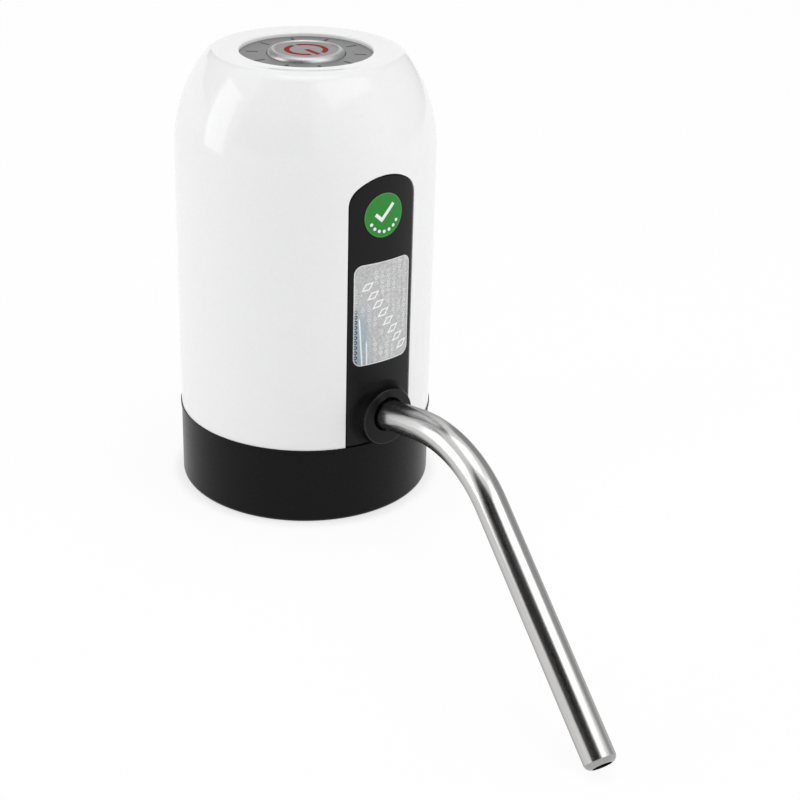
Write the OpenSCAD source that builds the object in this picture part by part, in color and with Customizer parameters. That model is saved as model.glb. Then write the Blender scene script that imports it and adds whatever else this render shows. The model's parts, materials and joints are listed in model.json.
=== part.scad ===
// Electric water jug pump: a round body that plugs onto a jug's neck, with a bent steel spout,
// a push button on top and a motor-driven diaphragm pump inside.
// Millimetres, +Z up, spout towards -Y, origin at the centre of the base's foot.

/* [Body] */
// Outer radius of the body
body_r = 37.5; // [37:0.1:39]
// Height of the top rim
body_h = 130.7; // [130:0.1:134]
// Wall of the outer shell
shell_wall = 2; // [1.7:0.1:2.3]
// Radius of the shoulder's arc
shoulder_r = 43; // [42:0.5:46]
// Depth of the shoulder's start below the rim
shoulder_drop = 27.9; // [26:0.1:29]
// Rounding of the top rim
rim_r = 4.2; // [3.6:0.1:4.6]
// Fall of the top ring towards the dial
ring_dip = 0.2; // [0.1:0.05:0.3]

/* [Base] */
// Height of the seam between base and shell
base_h = 23.7; // [23.2:0.1:25]
// Rounding of the foot's outer edge
foot_r = 1.5; // [1:0.1:2]
// Step of the rim round the base's top edge, on the radius
base_rim = 0.25; // [0.15:0.05:0.4]
// Height of the rim
base_rim_h = 1; // [0.6:0.1:1.4]
// Wall of the base's skirt
collar_wall = 2.5; // [2.2:0.1:2.8]
// Height of the lip that centres the shell
collar_lip_h = 3; // [2:0.1:3.3]
// Wall of the lip
collar_lip_t = 1.9; // [1.5:0.1:2.2]
// Wall of the ring round the neck seal
seal_ring_t = 2; // [1.6:0.1:2.4]
// Depth of the base's web below the seam
web_drop = 2.2; // [1.8:0.1:2.6]
// Thickness of the web
web_t = 2; // [1.6:0.1:2.4]
// Ribs between the skirt and the ring
rib_count = 12; // [8:1:16]
// Thickness of ribs
rib_t = 1.4; // [1:0.1:2]
// Thickness of the bottom plate
plate_t = 3; // [2.8:0.1:3.2]
// Thickness of the neck gasket
gasket_t = 2; // [1.6:0.1:2.2]
// Hole through the gasket and the web
gasket_hole_d = 32; // [28:1:36]
// Diameter of the jug neck's socket
neck_d = 55.5; // [55:0.1:56.5]
// Height over which the socket grips the neck
neck_grip_h = 10; // [9:0.1:10.2]
// Relief above the grip, on the radius
neck_relief = 0.85; // [0.5:0.05:1.2]
// Wall of the neck seal at the grip
seal_wall = 2.15; // [2:0.05:2.4]

/* [Water path] */
// Diameter of the intake spigot that takes the jug's hose
spigot_d = 7.5; // [7:0.1:8]
// Length of the intake spigot
spigot_l = 6; // [5:0.1:6.1]
// Diameter of the hose nipples
nipple_d = 6; // [5.6:0.1:6.2]
// Length of the hose nipples
nipple_l = 10; // [8:0.1:11]
// Bore of the nipples
water_d = 4; // [3.4:0.1:4.4]
// Wall of the hoses
hose_wall = 1.1; // [0.9:0.1:1.2]

/* [Front panel] */
// Width of the panel, straight across
panel_w = 22.6; // [21:0.1:24]
// Depth of the panel's top below the rim
panel_drop = 26.5; // [24:0.1:30]
// Radius of the panel's arched top
panel_arch_r = 14.9; // [14:0.1:17]
// Rounding where the arch meets the sides
panel_corner_r = 6.2; // [4:0.1:7]
// Flange of the panel behind the shell
panel_flange = 3; // [2:0.1:3.4]
// Thickness of the flange
panel_flange_t = 1.5; // [1.2:0.1:1.8]
// Height of the outlet's axis at the body's surface
outlet_z = 32.9; // [32.5:0.1:36]
// Upward tilt of the outlet
outlet_tilt = 9.1; // [6:0.1:11]
// Diameter of the outlet boss
boss_d = 17; // [16:0.1:17.6]
// Depth of the boss's centre below the outlet's axis
boss_drop = 0.3; // [0:0.05:0.5]
// Length of the boss in front of the body
boss_out = 3.4; // [2.5:0.1:5]
// Spread of the boss at its root, on the radius
boss_flare = 1.8; // [1:0.1:2.2]
// Wall of the socket inside the panel
socket_wall = 1.6; // [1.3:0.1:1.8]
// Thickness of the socket's end
socket_end_t = 2; // [1.6:0.1:2.4]

/* [Spout] */
// Outer diameter of the spout
spout_d = 9; // [8.6:0.1:9.4]
// Wall of the spout
spout_wall = 1; // [0.8:0.1:1.2]
// Depth of the spout's end behind the body's surface
spout_seat = 10; // [9:0.1:11]
// Straight length before the bend
spout_straight = 17.4; // [14:0.1:25]
// Radius of the bend
spout_bend_r = 42.4; // [36:0.1:50]
// Angle of the bend
spout_bend = 50.2; // [40:0.1:60]
// Straight length after the bend
spout_drop = 74.2; // [60:0.1:90]
// Opening of the spout's mouth
spout_mouth_d = 5.5; // [5:0.1:6]
// Turn of the spout about the outlet's axis at rest
spout_turn = 8; // [0:0.5:12]
// Wall of the rubber bush round the spout
bush_wall = 0.91; // [0.85:0.01:1.1]
// Depth of the bush's front edge behind the body's surface
bush_sink = 2; // [1.5:0.1:2.5]
// Thickness of the bush's inner shoulder
bush_stop_t = 0.9; // [0.8:0.1:1.2]
// Lip of the outlet that keeps the bush in, on the radius
outlet_lip = 0.4; // [0.3:0.05:0.5]

/* [Dial and button] */
// Diameter of the dial
dial_d = 37.2; // [36.8:0.1:37.8]
// Depth of the dial below the rim
dial_drop = 1.3; // [1:0.1:1.6]
// Thickness of the dial
dial_t = 1.5; // [1.2:0.1:1.8]
// Thickness of the ledge that carries the dial
ledge_t = 1.5; // [1.2:0.1:1.8]
// Width of the ledge
ledge_w = 1.6; // [1.4:0.1:1.8]
// Diameter of the button at the dial
button_d = 22; // [21:0.1:22.4]
// Diameter of the button's flat face
button_face_d = 18.4; // [17:0.1:19]
// Height of the button's face above the dial
button_rise = 1.3; // [1:0.1:1.6]
// Wall of the button
button_wall = 1.6; // [1.3:0.1:1.8]
// Flange that keeps the button under the dial, on the radius
button_flange = 1; // [0.8:0.1:1.2]
// Thickness of the button's flange
button_flange_t = 1.2; // [1:0.1:1.4]
// Travel of the button
button_travel = 0.8; // [0.4:0.1:1]
// Diameter of the button's stem
stem_d = 4.4; // [4:0.1:5]
// Ticks round the dial
tick_count = 10; // [6:1:12]
// Inner radius of the ticks
tick_in_r = 13.5; // [13.2:0.1:14]
// Length of the ticks
tick_l = 3.3; // [2.6:0.1:3.4]
// Width of the ticks
tick_w = 0.9; // [0.7:0.1:1.2]
// Turn of the ticks about the dial
tick_turn = -3; // [-6:0.5:6]
// Thickness of the light guide's ring
guide_t = 1.5; // [1.2:0.1:2]
// Diameter of the power symbol
icon_d = 12.4; // [11:0.1:13.5]
// Stroke of the power symbol
icon_w = 1.5; // [1.2:0.1:1.7]
// Opening of the power symbol's ring at its bar
icon_open = 4; // [3.6:0.1:4.4]
// Slit of the power symbol's ring opposite its bar
icon_slit = 1.1; // [0.8:0.1:1.4]
// Depth of the power symbol's inlay
icon_t = 0.4; // [0.3:0.1:0.6]

/* [Labels] */
// Diameter of the round sticker
sticker_d = 12.7; // [11:0.1:16]
// Depth of the round sticker's centre below the panel's top
sticker_drop = 11.4; // [9:0.1:16]
// Distance of the round sticker's centre from the panel's middle, negative to the left
sticker_side = -0.4; // [-1:0.1:1]
// Width of the foil label
label_w = 19.2; // [15:0.1:20]
// Space between the round sticker and the foil label
label_gap = 7.15; // [4:0.05:9]
// Space between the foil label and the outlet boss
label_foot = 5.9; // [3:0.1:9]
// Corner radius of the foil label
label_r = 2.6; // [1.5:0.1:4]
// Thickness of the labels
label_t = 0.12; // [0.1:0.01:0.15]

/* [Control board] */
// Diameter of the control board
board_d = 50; // [48:0.5:52]
// Thickness of the boards
board_t = 1.6; // [1.2:0.1:1.8]
// Drop from the ledge to the board's top
board_drop = 6.4; // [6:0.1:7]
// Radius of the board's screws
board_screw_r = 21.4; // [21:0.1:22]
// Side of the switch
switch_w = 6; // [5.6:0.1:7]
// Height of the switch's case
switch_h = 3.2; // [3:0.1:3.4]
// Diameter of the switch's plunger
plunger_d = 3.5; // [3:0.1:3.8]
// Height of the lead sockets
lead_socket_h = 4; // [3.5:0.1:4.5]

/* [Frame and battery] */
// Height of the frame's deck
deck_z = 46; // [45.4:0.1:47]
// Thickness of the deck
deck_t = 2; // [1.8:0.1:2.4]
// Diameter of the pillars
pillar_d = 6.5; // [6:0.1:6.8]
// Battery cell's diameter
cell_d = 18.2; // [18:0.1:18.4]
// Space between the battery and the control board
battery_head = 7.1; // [6.8:0.1:10]
// Wall of the battery's cup
cup_wall = 1.2; // [1:0.1:1.3]
// Height of the battery's cup
cup_h = 12; // [8:0.5:16]
// Thickness of the battery's tabs
tab_t = 0.3; // [0.2:0.05:0.3]
// Thickness of the battery's sleeve
sleeve_t = 0.15; // [0.1:0.05:0.15]
// Width of the nickel strip
strip_w = 5; // [4:0.1:6]

/* [Charging] */
// Height of the charging board above the deck
charge_rise = 4; // [3:0.1:5]
// Width of the charging board
charge_w = 17; // [16:0.1:18]
// Length of the charging board
charge_l = 10.4; // [10:0.1:10.8]
// Width of the charging socket
port_w = 7.6; // [7.4:0.1:8.2]
// Height of the charging socket
port_h = 2.8; // [2.6:0.1:3.2]
// Length of the charging socket
port_l = 5.6; // [5:0.1:6]
// Wall of the charging socket
port_wall = 0.3; // [0.25:0.05:0.4]
// Width of the plug's window in the shell
window_w = 11.4; // [10.4:0.1:12.4]
// Height of the plug's window
window_h = 6.4; // [5.8:0.1:7]

/* [Pump] */
// Distance from the intake's axis to the pump's axis
pump_off = 9; // [8.9:0.1:9.6]
// Direction of the pump's axis from the intake
pump_turn = 210; // [205:1:215]
// Radius of the pump head
pump_r = 14; // [13.8:0.1:14.2]
// Height of the pump's cover
cover_h = 6; // [5.6:0.1:7]
// Depth of the chambers in the cover
chamber_h = 3.5; // [3:0.1:4]
// Radius of the outlet chamber
chamber_r = 5.2; // [5:0.1:5.4]
// Wall between the chambers
chamber_wall = 1.2; // [1:0.1:1.3]
// Outer radius of the inlet chamber
chamber_out_r = 10.8; // [10.5:0.1:10.9]
// Thickness of the valve plate
valve_t = 2.5; // [2.3:0.1:3]
// Thickness of the diaphragm's rim
rim_t = 1.5; // [1.2:0.1:1.8]
// Radius of the diaphragm's cups from the pump's axis
cup_at = 7.2; // [7:0.1:7.3]
// Radius of the cups at the rim
cup_r = 3.8; // [3.6:0.1:3.9]
// Wall of the cups
cup_skin = 0.8; // [0.7:0.05:0.9]
// Height of the pump's body
pump_body_h = 16; // [15.8:0.1:17]
// Bore of the pump's body
pump_bore_r = 11.1; // [10.9:0.1:11.2]
// Height of the drive plate's pivot above the body's foot
pivot_up = 7.5; // [7:0.1:7.8]
// Tilt of the crank pin
pin_tilt = 6; // [5:0.1:6.5]
// Thickness of the drive plate
drive_t = 2; // [1.8:0.1:2.2]
// Radius of the crank
crank_r = 6.2; // [5.8:0.1:6.4]
// Height of the crank
crank_h = 4; // [3.8:0.1:4.2]
// Diameter of the crank pin
pin_d = 1.8; // [1.6:0.1:2]
// Flange that takes the motor, its thickness
motor_flange_t = 1.5; // [1.3:0.1:1.8]
// Radius of the screws that close the pump head
head_screw_at = 12.4; // [12.3:0.1:12.5]
// Radius of the mounting ears from the pump's axis
ear_at = 17.5; // [17.2:0.1:18]

/* [Motor] */
// Radius of the motor's can
motor_r = 12.2; // [12:0.1:12.5]
// Space between the can and the lead sockets
motor_head = 14.4; // [12:0.1:15]
// Wall of the can
can_wall = 0.8; // [0.7:0.05:0.9]
// Height of the end cap above the can
cap_h = 2.5; // [2.3:0.1:3]
// Depth of the end cap inside the can
cap_plug = 1.5; // [1.3:0.1:1.6]
// Height of the can's nose
nose_h = 1.2; // [1:0.1:1.3]
// Radius of the bushes
bearing_r = 3; // [2.8:0.1:3.2]
// Diameter of the motor's shaft
shaft_d = 2; // [1.8:0.1:2.2]
// Radius of the armature
armature_r = 9; // [8.6:0.1:9.2]
// Room in the can beyond the armature's ends
armature_room = 12; // [11.6:0.1:14]
// Thickness of the magnets
magnet_t = 1.7; // [1.4:0.1:1.8]
// Room in the can beyond the magnets' ends
magnet_room = 10; // [9:0.1:12]
// Radius of the commutator
commutator_r = 2.4; // [2.2:0.1:2.6]
// Length of the commutator
commutator_l = 3; // [2.6:0.1:3.2]

/* [Fasteners and leads] */
// Diameter of the screws' shanks
screw_d = 2.4; // [2.2:0.1:2.6]
// Diameter of the screws' heads
screw_head_d = 5; // [4.6:0.1:5.2]
// Height of the screws' heads
screw_head_h = 1.6; // [1.4:0.1:1.7]
// Diameter of the small screws' shanks
small_screw_d = 1.9; // [1.7:0.1:2]
// Diameter of the small screws' heads
small_head_d = 3.4; // [3.2:0.1:3.6]
// Height of the small screws' heads
small_head_h = 1.2; // [1:0.1:1.3]
// Diameter of the leads
lead_d = 1.4; // [1.2:0.1:1.6]

/* [Fits] */
// Gap round a turning or sliding fit, on the radius
run_gap = 0.06; // [0.05:0.01:0.08]
// Gap round a fixed insert, on the radius
fit_gap = 0.03; // [0.02:0.01:0.05]
// Gap round loosely fitted parts
part_gap = 0.1; // [0.08:0.01:0.15]
// Gap round the button and the front panel
show_gap = 0.15; // [0.1:0.01:0.2]
// Clear space kept beside moving parts
free_gap = 0.4; // [0.3:0.05:0.5]

/* [Hidden] */
$fn = 64;
// Overlap of joined shapes within one piece
merge = 0.2;
// How far a cut runs past the face that it opens
over = 1;
// Material left beyond a blind hole
hole_floor = 0.8;
// Space left beyond a screw's tip
tip_room = 1;
// Straight end of a lead
lead_end = 0.6;
// Thinning of the spout's wall along its bend, on each side
bend_thin = 0.02;

// Base, from the seam downwards
web_top = base_h - web_drop;
web_z = web_top - web_t;
plate_z = web_z - plate_t;
gasket_z = plate_z - gasket_t;
neck_r = neck_d / 2;
seal_r = neck_r + seal_wall;
collar_bore_r = seal_r + part_gap;
collar_ring_r = collar_bore_r + seal_ring_t;
skirt_gap = body_r - collar_wall - collar_ring_r;
shell_in_r = body_r - shell_wall;
lip_r = shell_in_r - free_gap;
foot_rise = 0.6;
base_screw_edge = 4.2;
base_screw_at = seal_r - base_screw_edge;
base_screw_turns = [0, 90, 180];
post_d = 7;
post_l = 18.5;
post_top = web_top + post_l;
post_pilot = 15;
pillar_turns = [35, 145, 217, 323];
pillar_pilot = 12;

// Shoulder and top, from the rim downwards
shoulder_z = body_h - shoulder_drop;
shoulder_cx = body_r - shoulder_r;
rim_angle = asin((body_h - rim_r - shoulder_z) / (shoulder_r - rim_r));
rim_cx = shoulder_cx + (shoulder_r - rim_r) * cos(rim_angle);
rim_cz = body_h - rim_r;
dial_r = dial_d / 2;
dial_z = body_h - dial_drop;
dial_under = dial_z - dial_t;
ledge_z = dial_under - ledge_t;
dial_seat_r = dial_r + part_gap;
ledge_r = dial_r - ledge_w;
lip_round = 0.3;
in_shoulder_r = shoulder_r - shell_wall;
ceiling_angle = asin((ledge_z - shoulder_z) / in_shoulder_r);

// Button, switch and control board
button_r = button_d / 2;
button_z = dial_z + button_rise;
button_hole_r = button_r + show_gap;
flange_top = dial_under - fit_gap;
flange_r = button_r + button_flange;
button_foot = flange_top - button_flange_t;
board_top = ledge_z - board_drop;
board_z = board_top - board_t;
board_screw_turns = [30, 150, 270];
board_post_d = 5;
switch_top = board_top + switch_h;
plunger_top = switch_top + button_travel + free_gap;
plunger_grip = 1.2;
switch_bore_z = switch_top - plunger_grip - button_travel - part_gap;
tick_at = tick_in_r + tick_l / 2;
led_l = 2;
led_w = 1.2;
led_h = 0.8;
guide_in_r = flange_r + free_gap;
guide_out_r = ledge_r - part_gap;
lead_socket_z = board_z - lead_socket_h;
lead_socket_w = 6;
lead_socket_l = 4;
lead_pitch = 2.6;
// Chips under the control board: x, y, width, length and height
chips = [[-1, 6, 5, 4, 1.6], [8, -13, 6.4, 6, 2.3], [-16, -3, 4, 5, 1.6]];

// Front panel and outlet
panel_top_z = body_h - panel_drop;
sticker_z = panel_top_z - sticker_drop;
label_top = sticker_z - sticker_d / 2 - label_gap;
boss_z = outlet_z - boss_drop;
label_under = boss_z + boss_d / 2 + boss_flare + label_foot;
label_h = label_top - label_under;
label_z = (label_top + label_under) / 2;
panel_r = body_r - part_gap;
panel_in_r = shell_in_r - part_gap;
flange_out_r = shell_in_r - free_gap;
flange_in_r = flange_out_r - panel_flange_t;
flange_z = base_h + collar_lip_h + free_gap;
bush_in_r = spout_d / 2 + run_gap;
bush_r = bush_in_r + bush_wall;
outlet_bore_r = bush_r + run_gap;
socket_r = outlet_bore_r + socket_wall;
bush_back = spout_seat + part_gap + bush_stop_t;
socket_back = bush_back + part_gap;
socket_end = socket_back + socket_end_t;
outlet_nipple_l = 7;
nipple_r = nipple_d / 2;
water_r = water_d / 2;
hose_in_r = nipple_r + part_gap;
hose_r = hose_in_r + hose_wall;
hose_bend = 9;
boss_root = 3;

// Deck and what stands on it
deck_under = deck_z - deck_t;
deck_r = flange_in_r - free_gap;
pillar_at = flange_in_r - part_gap - pillar_d / 2;
hose_hole_r = hose_r + free_gap;
cell_r = cell_d / 2;
strip_r = cell_r + fit_gap;
sleeve_r = strip_r + tab_t + fit_gap;
battery_cup_r = sleeve_r + sleeve_t + part_gap;
battery_at = [14.6, 8.2];
cell_z = deck_z + tab_t;
cell_top = board_z - battery_head;
cell_l = cell_top - cell_z;
cell_button_r = 3;
cell_button_h = 0.6;
charge_z = deck_z + charge_rise;
charge_top = charge_z + board_t;
charge_back = sqrt(pow(shell_in_r, 2) - pow(charge_w / 2, 2)) - free_gap;
charge_front = charge_back - charge_l;
charge_screw = [charge_w / 2 - 2.5, charge_front + 4.2];
charge_post_d = 4.4;
port_z = charge_top + port_h / 2;
port_back = shell_in_r - free_gap;

// Pump head, from the deck upwards
pump_at = [pump_off * cos(pump_turn), pump_off * sin(pump_turn)];
valve_z = deck_z + cover_h;
rim_z = valve_z + valve_t;
pump_body_z = rim_z + rim_t;
motor_z = pump_body_z + pump_body_h;
pivot_z = pump_body_z + pivot_up;
cup_turns = [60, 180, 300];
head_screw_turns = [0, 120, 240];
motor_screw_turns = [90, 270];
port_hole_r = 0.4;
port_hole_at = 1.1;
inlet_valve_at = cup_at + port_hole_at;
inlet_valve_r = 1.5;
inlet_stem_r = 0.6;
inlet_stem_tail = 0.6;
outlet_stem_r = 1;
outlet_stem_l = valve_t - 0.4;
drive_hole_r = 1.3;
drive_arm_r = 2.3;
drive_hub_r = 2.6;
drive_hub_up = 1.8;
drive_hub_down = 2.6;
pin_r = pin_d / 2;
pin_down = 1.9;
crank_top = motor_z - nose_h - free_gap;
crank_z = crank_top - crank_h;
pin_in_crank = 1.8;
pin_up = (crank_z + pin_in_crank - pivot_z) / cos(pin_tilt);
shaft_in_crank = 1.7;
crank_hole_r = crank_r + 2 * free_gap;
motor_screw_at = pump_bore_r - small_head_d / 2 - part_gap;
head_screw_l = 16;
ear_r = 3.4;
ear_t = 3;
ear_boss_l = 4.5;
ear_root = 2;

// Motor, from the pump head upwards
can_top = lead_socket_z - motor_head;
can_h = can_top - motor_z;
cap_under = can_top - cap_plug;
cap_top = can_top + cap_h;
can_in_r = motor_r - can_wall;
can_floor = 1;
nose_wall = 0.8;
nose_r = bearing_r + nose_wall;
bearing_l = 3.2;
shaft_r = shaft_d / 2;
armature_low = 1.1;
armature_mid = motor_z + can_h / 2 - armature_low;
armature_l = can_h - armature_room;
armature_z = armature_mid - armature_l / 2;
magnet_l = can_h - magnet_room;
magnet_z = armature_mid - magnet_l / 2;
magnet_r = can_in_r - fit_gap;
commutator_z = cap_under - commutator_l - free_gap;
pole_turns = [0, 120, 240];
pole_turn = 100;
magnet_turn = 120;
pole_t = 1.8;
pole_web = 3;
hub_r = 2.6;
terminal_at = 7;
terminal_w = 2.4;
terminal_t = 0.5;
terminal_l = 6;
terminal_top = cap_under + part_gap + terminal_l;

// Points of an arc, from one angle to another
function arc(cx, cy, r, from, to, steps, first = 0) =
  [for (i = [first:steps]) let (a = from + (to - from) * i / steps) [cx + r * cos(a), cy + r * sin(a)]];

// Section of the shell: outside from the seam to the rim, then the dial's seat and the inside back down
shell_section = concat(
  [[body_r, base_h]],
  arc(shoulder_cx, shoulder_z, shoulder_r, 0, rim_angle, 16),
  arc(rim_cx, rim_cz, rim_r, rim_angle, 90, 10, 1),
  [[dial_seat_r + lip_round, body_h - ring_dip], [dial_seat_r, body_h - ring_dip - lip_round]],
  [[dial_seat_r, dial_under], [ledge_r, dial_under], [ledge_r, ledge_z]],
  arc(shoulder_cx, shoulder_z, in_shoulder_r, ceiling_angle, 0, 12),
  [[shell_in_r, base_h]]
);

// Section of the base's skirt with its rounded foot and its rim
skirt_section = concat(
  [[body_r - collar_wall, 0]],
  arc(body_r - foot_r, foot_r, foot_r, -90, 0, 6),
  [[body_r, base_h - base_rim_h - base_rim], [body_r + base_rim, base_h - base_rim_h]],
  [[body_r + base_rim, base_h], [body_r - collar_wall, base_h]]
);

// Front panel's outline as seen from the front, grown or shrunk by d
function panel_outline(d, foot) =
  let (
    w = panel_w / 2 + d,
    c = panel_top_z - panel_arch_r,
    big = panel_arch_r + d,
    small = panel_corner_r + d,
    up = sqrt((big - small) * (big - small) - (w - small) * (w - small)),
    turn = atan2(up, w - small)
  )
  concat(
    [[-w, foot], [w, foot]],
    arc(w - small, c + up, small, 0, turn, 5),
    arc(0, c, big, turn, 180 - turn, 12, 1),
    arc(small - w, c + up, small, 180 - turn, 180, 5, 1)
  );

// Points of a cubic curve that leaves p along u and arrives at q along v
function curve(p, u, q, v, steps) =
  [for (i = [0:steps])
    let (t = i / steps, s = 1 - t)
    s * s * s * p + 3 * s * s * t * (p + u) + 3 * s * t * t * (q - v) + t * t * t * q];

function unit(v) = v / norm(v);

// Path of a lead that leaves p along u and meets q along v, with short straight ends
function lead_path(p, u, q, v, steps) =
  concat([p], curve(p + lead_end * unit(u), u, q - lead_end * unit(v), v, steps), [q]);

function tangent(path, i) = unit(path[min(i + 1, len(path) - 1)] - path[max(i - 1, 0)]);

// Side vectors carried along a path without twist
function carried(path, side, i = 0) =
  i == len(path)
    ? []
    : let (t = tangent(path, i), s = unit(side - (side * t) * t))
      concat([s], carried(path, s, i + 1));

// Rings of points round a path
function rings(path, r, sides) =
  let (side = carried(path, [1, 0.13, 0.07]))
  [for (i = [0:len(path) - 1])
    let (s = side[i], w = cross(tangent(path, i), s))
    for (k = [0:sides - 1])
      path[i] + r * cos(360 * k / sides) * s + r * sin(360 * k / sides) * w];

// Triangles of a skin over rings that start at point number base
function skin(base, count, sides, inward) =
  [for (i = [0:count - 2]) for (k = [0:sides - 1])
    let (
      a = base + i * sides + k,
      b = base + i * sides + (k + 1) % sides,
      c = a + sides,
      d = b + sides
    )
    each inward ? [[a, b, c], [b, d, c]] : [[a, c, b], [b, c, d]]];

// Solid lead along a path
module lead(path, sides = 8) {
  n = len(path);
  points = concat(rings(path, lead_d / 2, sides), [path[0], path[n - 1]]);
  first = n * sides;
  ends = [for (k = [0:sides - 1])
    each [
      [first, k, (k + 1) % sides],
      [first + 1, (n - 1) * sides + (k + 1) % sides, (n - 1) * sides + k]
    ]];
  polyhedron(points, concat(skin(0, n, sides, false), ends));
}

// Hollow hose along a path
module hose(path, sides = 16) {
  n = len(path);
  in = n * sides;
  points = concat(rings(path, hose_r, sides), rings(path, hose_in_r / cos(180 / sides), sides));
  last = (n - 1) * sides;
  ends = [for (k = [0:sides - 1])
    let (j = (k + 1) % sides)
    each [
      [k, j, in + k],
      [j, in + j, in + k],
      [last + k, in + last + k, last + j],
      [last + j, in + last + k, in + last + j]
    ]];
  polyhedron(points, concat(skin(0, n, sides, false), skin(in, n, sides, true), ends));
}

module tube(r_out, r_in, h) {
  difference() {
    cylinder(r = r_out, h = h);
    translate([0, 0, -over]) cylinder(r = r_in, h = h + 2 * over);
  }
}

module box(w, l, h) {
  translate([-w / 2, -l / 2, 0]) cube([w, l, h]);
}

// Copies at a radius and at the given turns about the axis
module round_array(at, turns) {
  for (a = turns) rotate([0, 0, a]) translate([at, 0, 0]) children();
}

// Cross-head screw pointing up, its head's underside at z = 0
module screw(d, head_d, head_h, l) {
  slot_w = d / 3;
  slot_l = head_d / 2;
  slot_h = head_h / 2;
  difference() {
    union() {
      translate([0, 0, -head_h]) cylinder(d = head_d, h = head_h);
      translate([0, 0, -merge]) cylinder(d = d, h = l + merge);
    }
    translate([0, 0, -head_h - over]) box(slot_w, slot_l, over + slot_h);
    translate([0, 0, -head_h - over]) box(slot_l, slot_w, over + slot_h);
  }
}

module large_screw(l) {
  screw(screw_d, screw_head_d, screw_head_h, l);
}

module small_screw(l) {
  screw(small_screw_d, small_head_d, small_head_h, l);
}

// Blind hole for a screw's thread, from z = 0 upwards
module pilot(d, depth) {
  translate([0, 0, -over]) cylinder(d = d + 2 * fit_gap, h = depth + over);
}

// Clear hole for a screw through a thickness, from z = 0 upwards
module clear_hole(d, h) {
  translate([0, 0, -over]) cylinder(d = d + 4 * part_gap, h = h + 2 * over);
}

// What follows an outline seen from the front, from y = 0 forwards
module forwards(l) {
  rotate([90, 0, 0]) linear_extrude(l) children();
}

// Frame of the outlet: -Y runs out along its axis, from the body's surface
module at_outlet() {
  translate([0, -body_r, outlet_z]) rotate([-outlet_tilt, 0, 0]) children();
}

// A round bar or bore along the outlet's axis, from one depth behind the body's surface to another
module along_outlet(r, from, to) {
  at_outlet() translate([0, from, 0]) rotate([90, 0, 0]) cylinder(r = r, h = from - to);
}

// Frame of the pump and motor: -X points to the intake's axis
module at_pump(z) {
  translate([pump_at[0], pump_at[1], z]) rotate([0, 0, pump_turn]) children();
}

// Frame of the tilted crank pin, from the drive plate's pivot
module at_pin() {
  at_pump(pivot_z) rotate([0, pin_tilt, 0]) children();
}

module at_battery(z) {
  translate([battery_at[0], battery_at[1], z]) children();
}

module outer_shell() {
  post_rib_z = base_h + collar_lip_h + free_gap;
  color("white") difference() {
    union() {
      rotate_extrude() polygon(shell_section);
      round_array(base_screw_at, base_screw_turns) {
        translate([0, 0, web_top]) cylinder(d = post_d, h = post_top - web_top);
        translate([0, -rib_t / 2, post_rib_z])
          cube([shell_in_r - base_screw_at + merge, rib_t, post_top - post_rib_z]);
      }
      round_array(board_screw_r, board_screw_turns)
        translate([0, 0, board_top]) cylinder(d = board_post_d, h = board_drop + merge);
    }
    forwards(body_r + over) polygon(panel_outline(0, base_h - over));
    round_array(base_screw_at, base_screw_turns) translate([0, 0, web_top]) pilot(screw_d, post_pilot);
    round_array(board_screw_r, board_screw_turns)
      translate([0, 0, board_top]) pilot(small_screw_d, board_drop - hole_floor);
    translate([0, 0, port_z]) mirror([0, 1, 0]) forwards(body_r + over) window_outline();
  }
}

module window_outline() {
  r = window_h / 2;
  translate([r - window_w / 2, -r]) square([window_w - window_h, window_h]);
  for (s = [-1, 1]) translate([s * (window_w / 2 - r), 0]) circle(r);
}

// Curved layer of the panel between two radii, its outline grown by d, from a foot upwards
module panel_layer(r_out, r_in, d, foot) {
  intersection() {
    tube(r_out, r_in, body_h);
    forwards(body_r + over) polygon(panel_outline(d, foot));
  }
}

module front_panel() {
  color("#1c1c1e") difference() {
    union() {
      panel_layer(panel_r, panel_in_r, -show_gap, base_h + show_gap);
      panel_layer(panel_in_r + merge, flange_out_r - merge, -2 * show_gap, flange_z + merge);
      panel_layer(flange_out_r, flange_in_r, panel_flange, flange_z);
      intersection() {
        union() {
          translate([0, -body_r - boss_out, boss_z]) rotate([-90, 0, 0])
            cylinder(d = boss_d, h = boss_out + shell_wall);
          translate([0, -body_r - boss_root + boss_flare, boss_z]) rotate([-90, 0, 0])
            cylinder(r1 = boss_d / 2, r2 = boss_d / 2 + boss_flare, h = boss_root);
        }
        translate([0, 0, base_h + show_gap]) cylinder(r = body_r * 2, h = body_h);
      }
      along_outlet(socket_r, socket_end, shell_wall);
      along_outlet(nipple_r, socket_end + outlet_nipple_l, socket_end - merge);
    }
    along_outlet(outlet_bore_r, socket_back, bush_sink - part_gap);
    along_outlet(outlet_bore_r - outlet_lip, bush_sink, -boss_out - boss_d / 2);
    along_outlet(water_r, socket_end + outlet_nipple_l + over, socket_back - over);
  }
}

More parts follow.
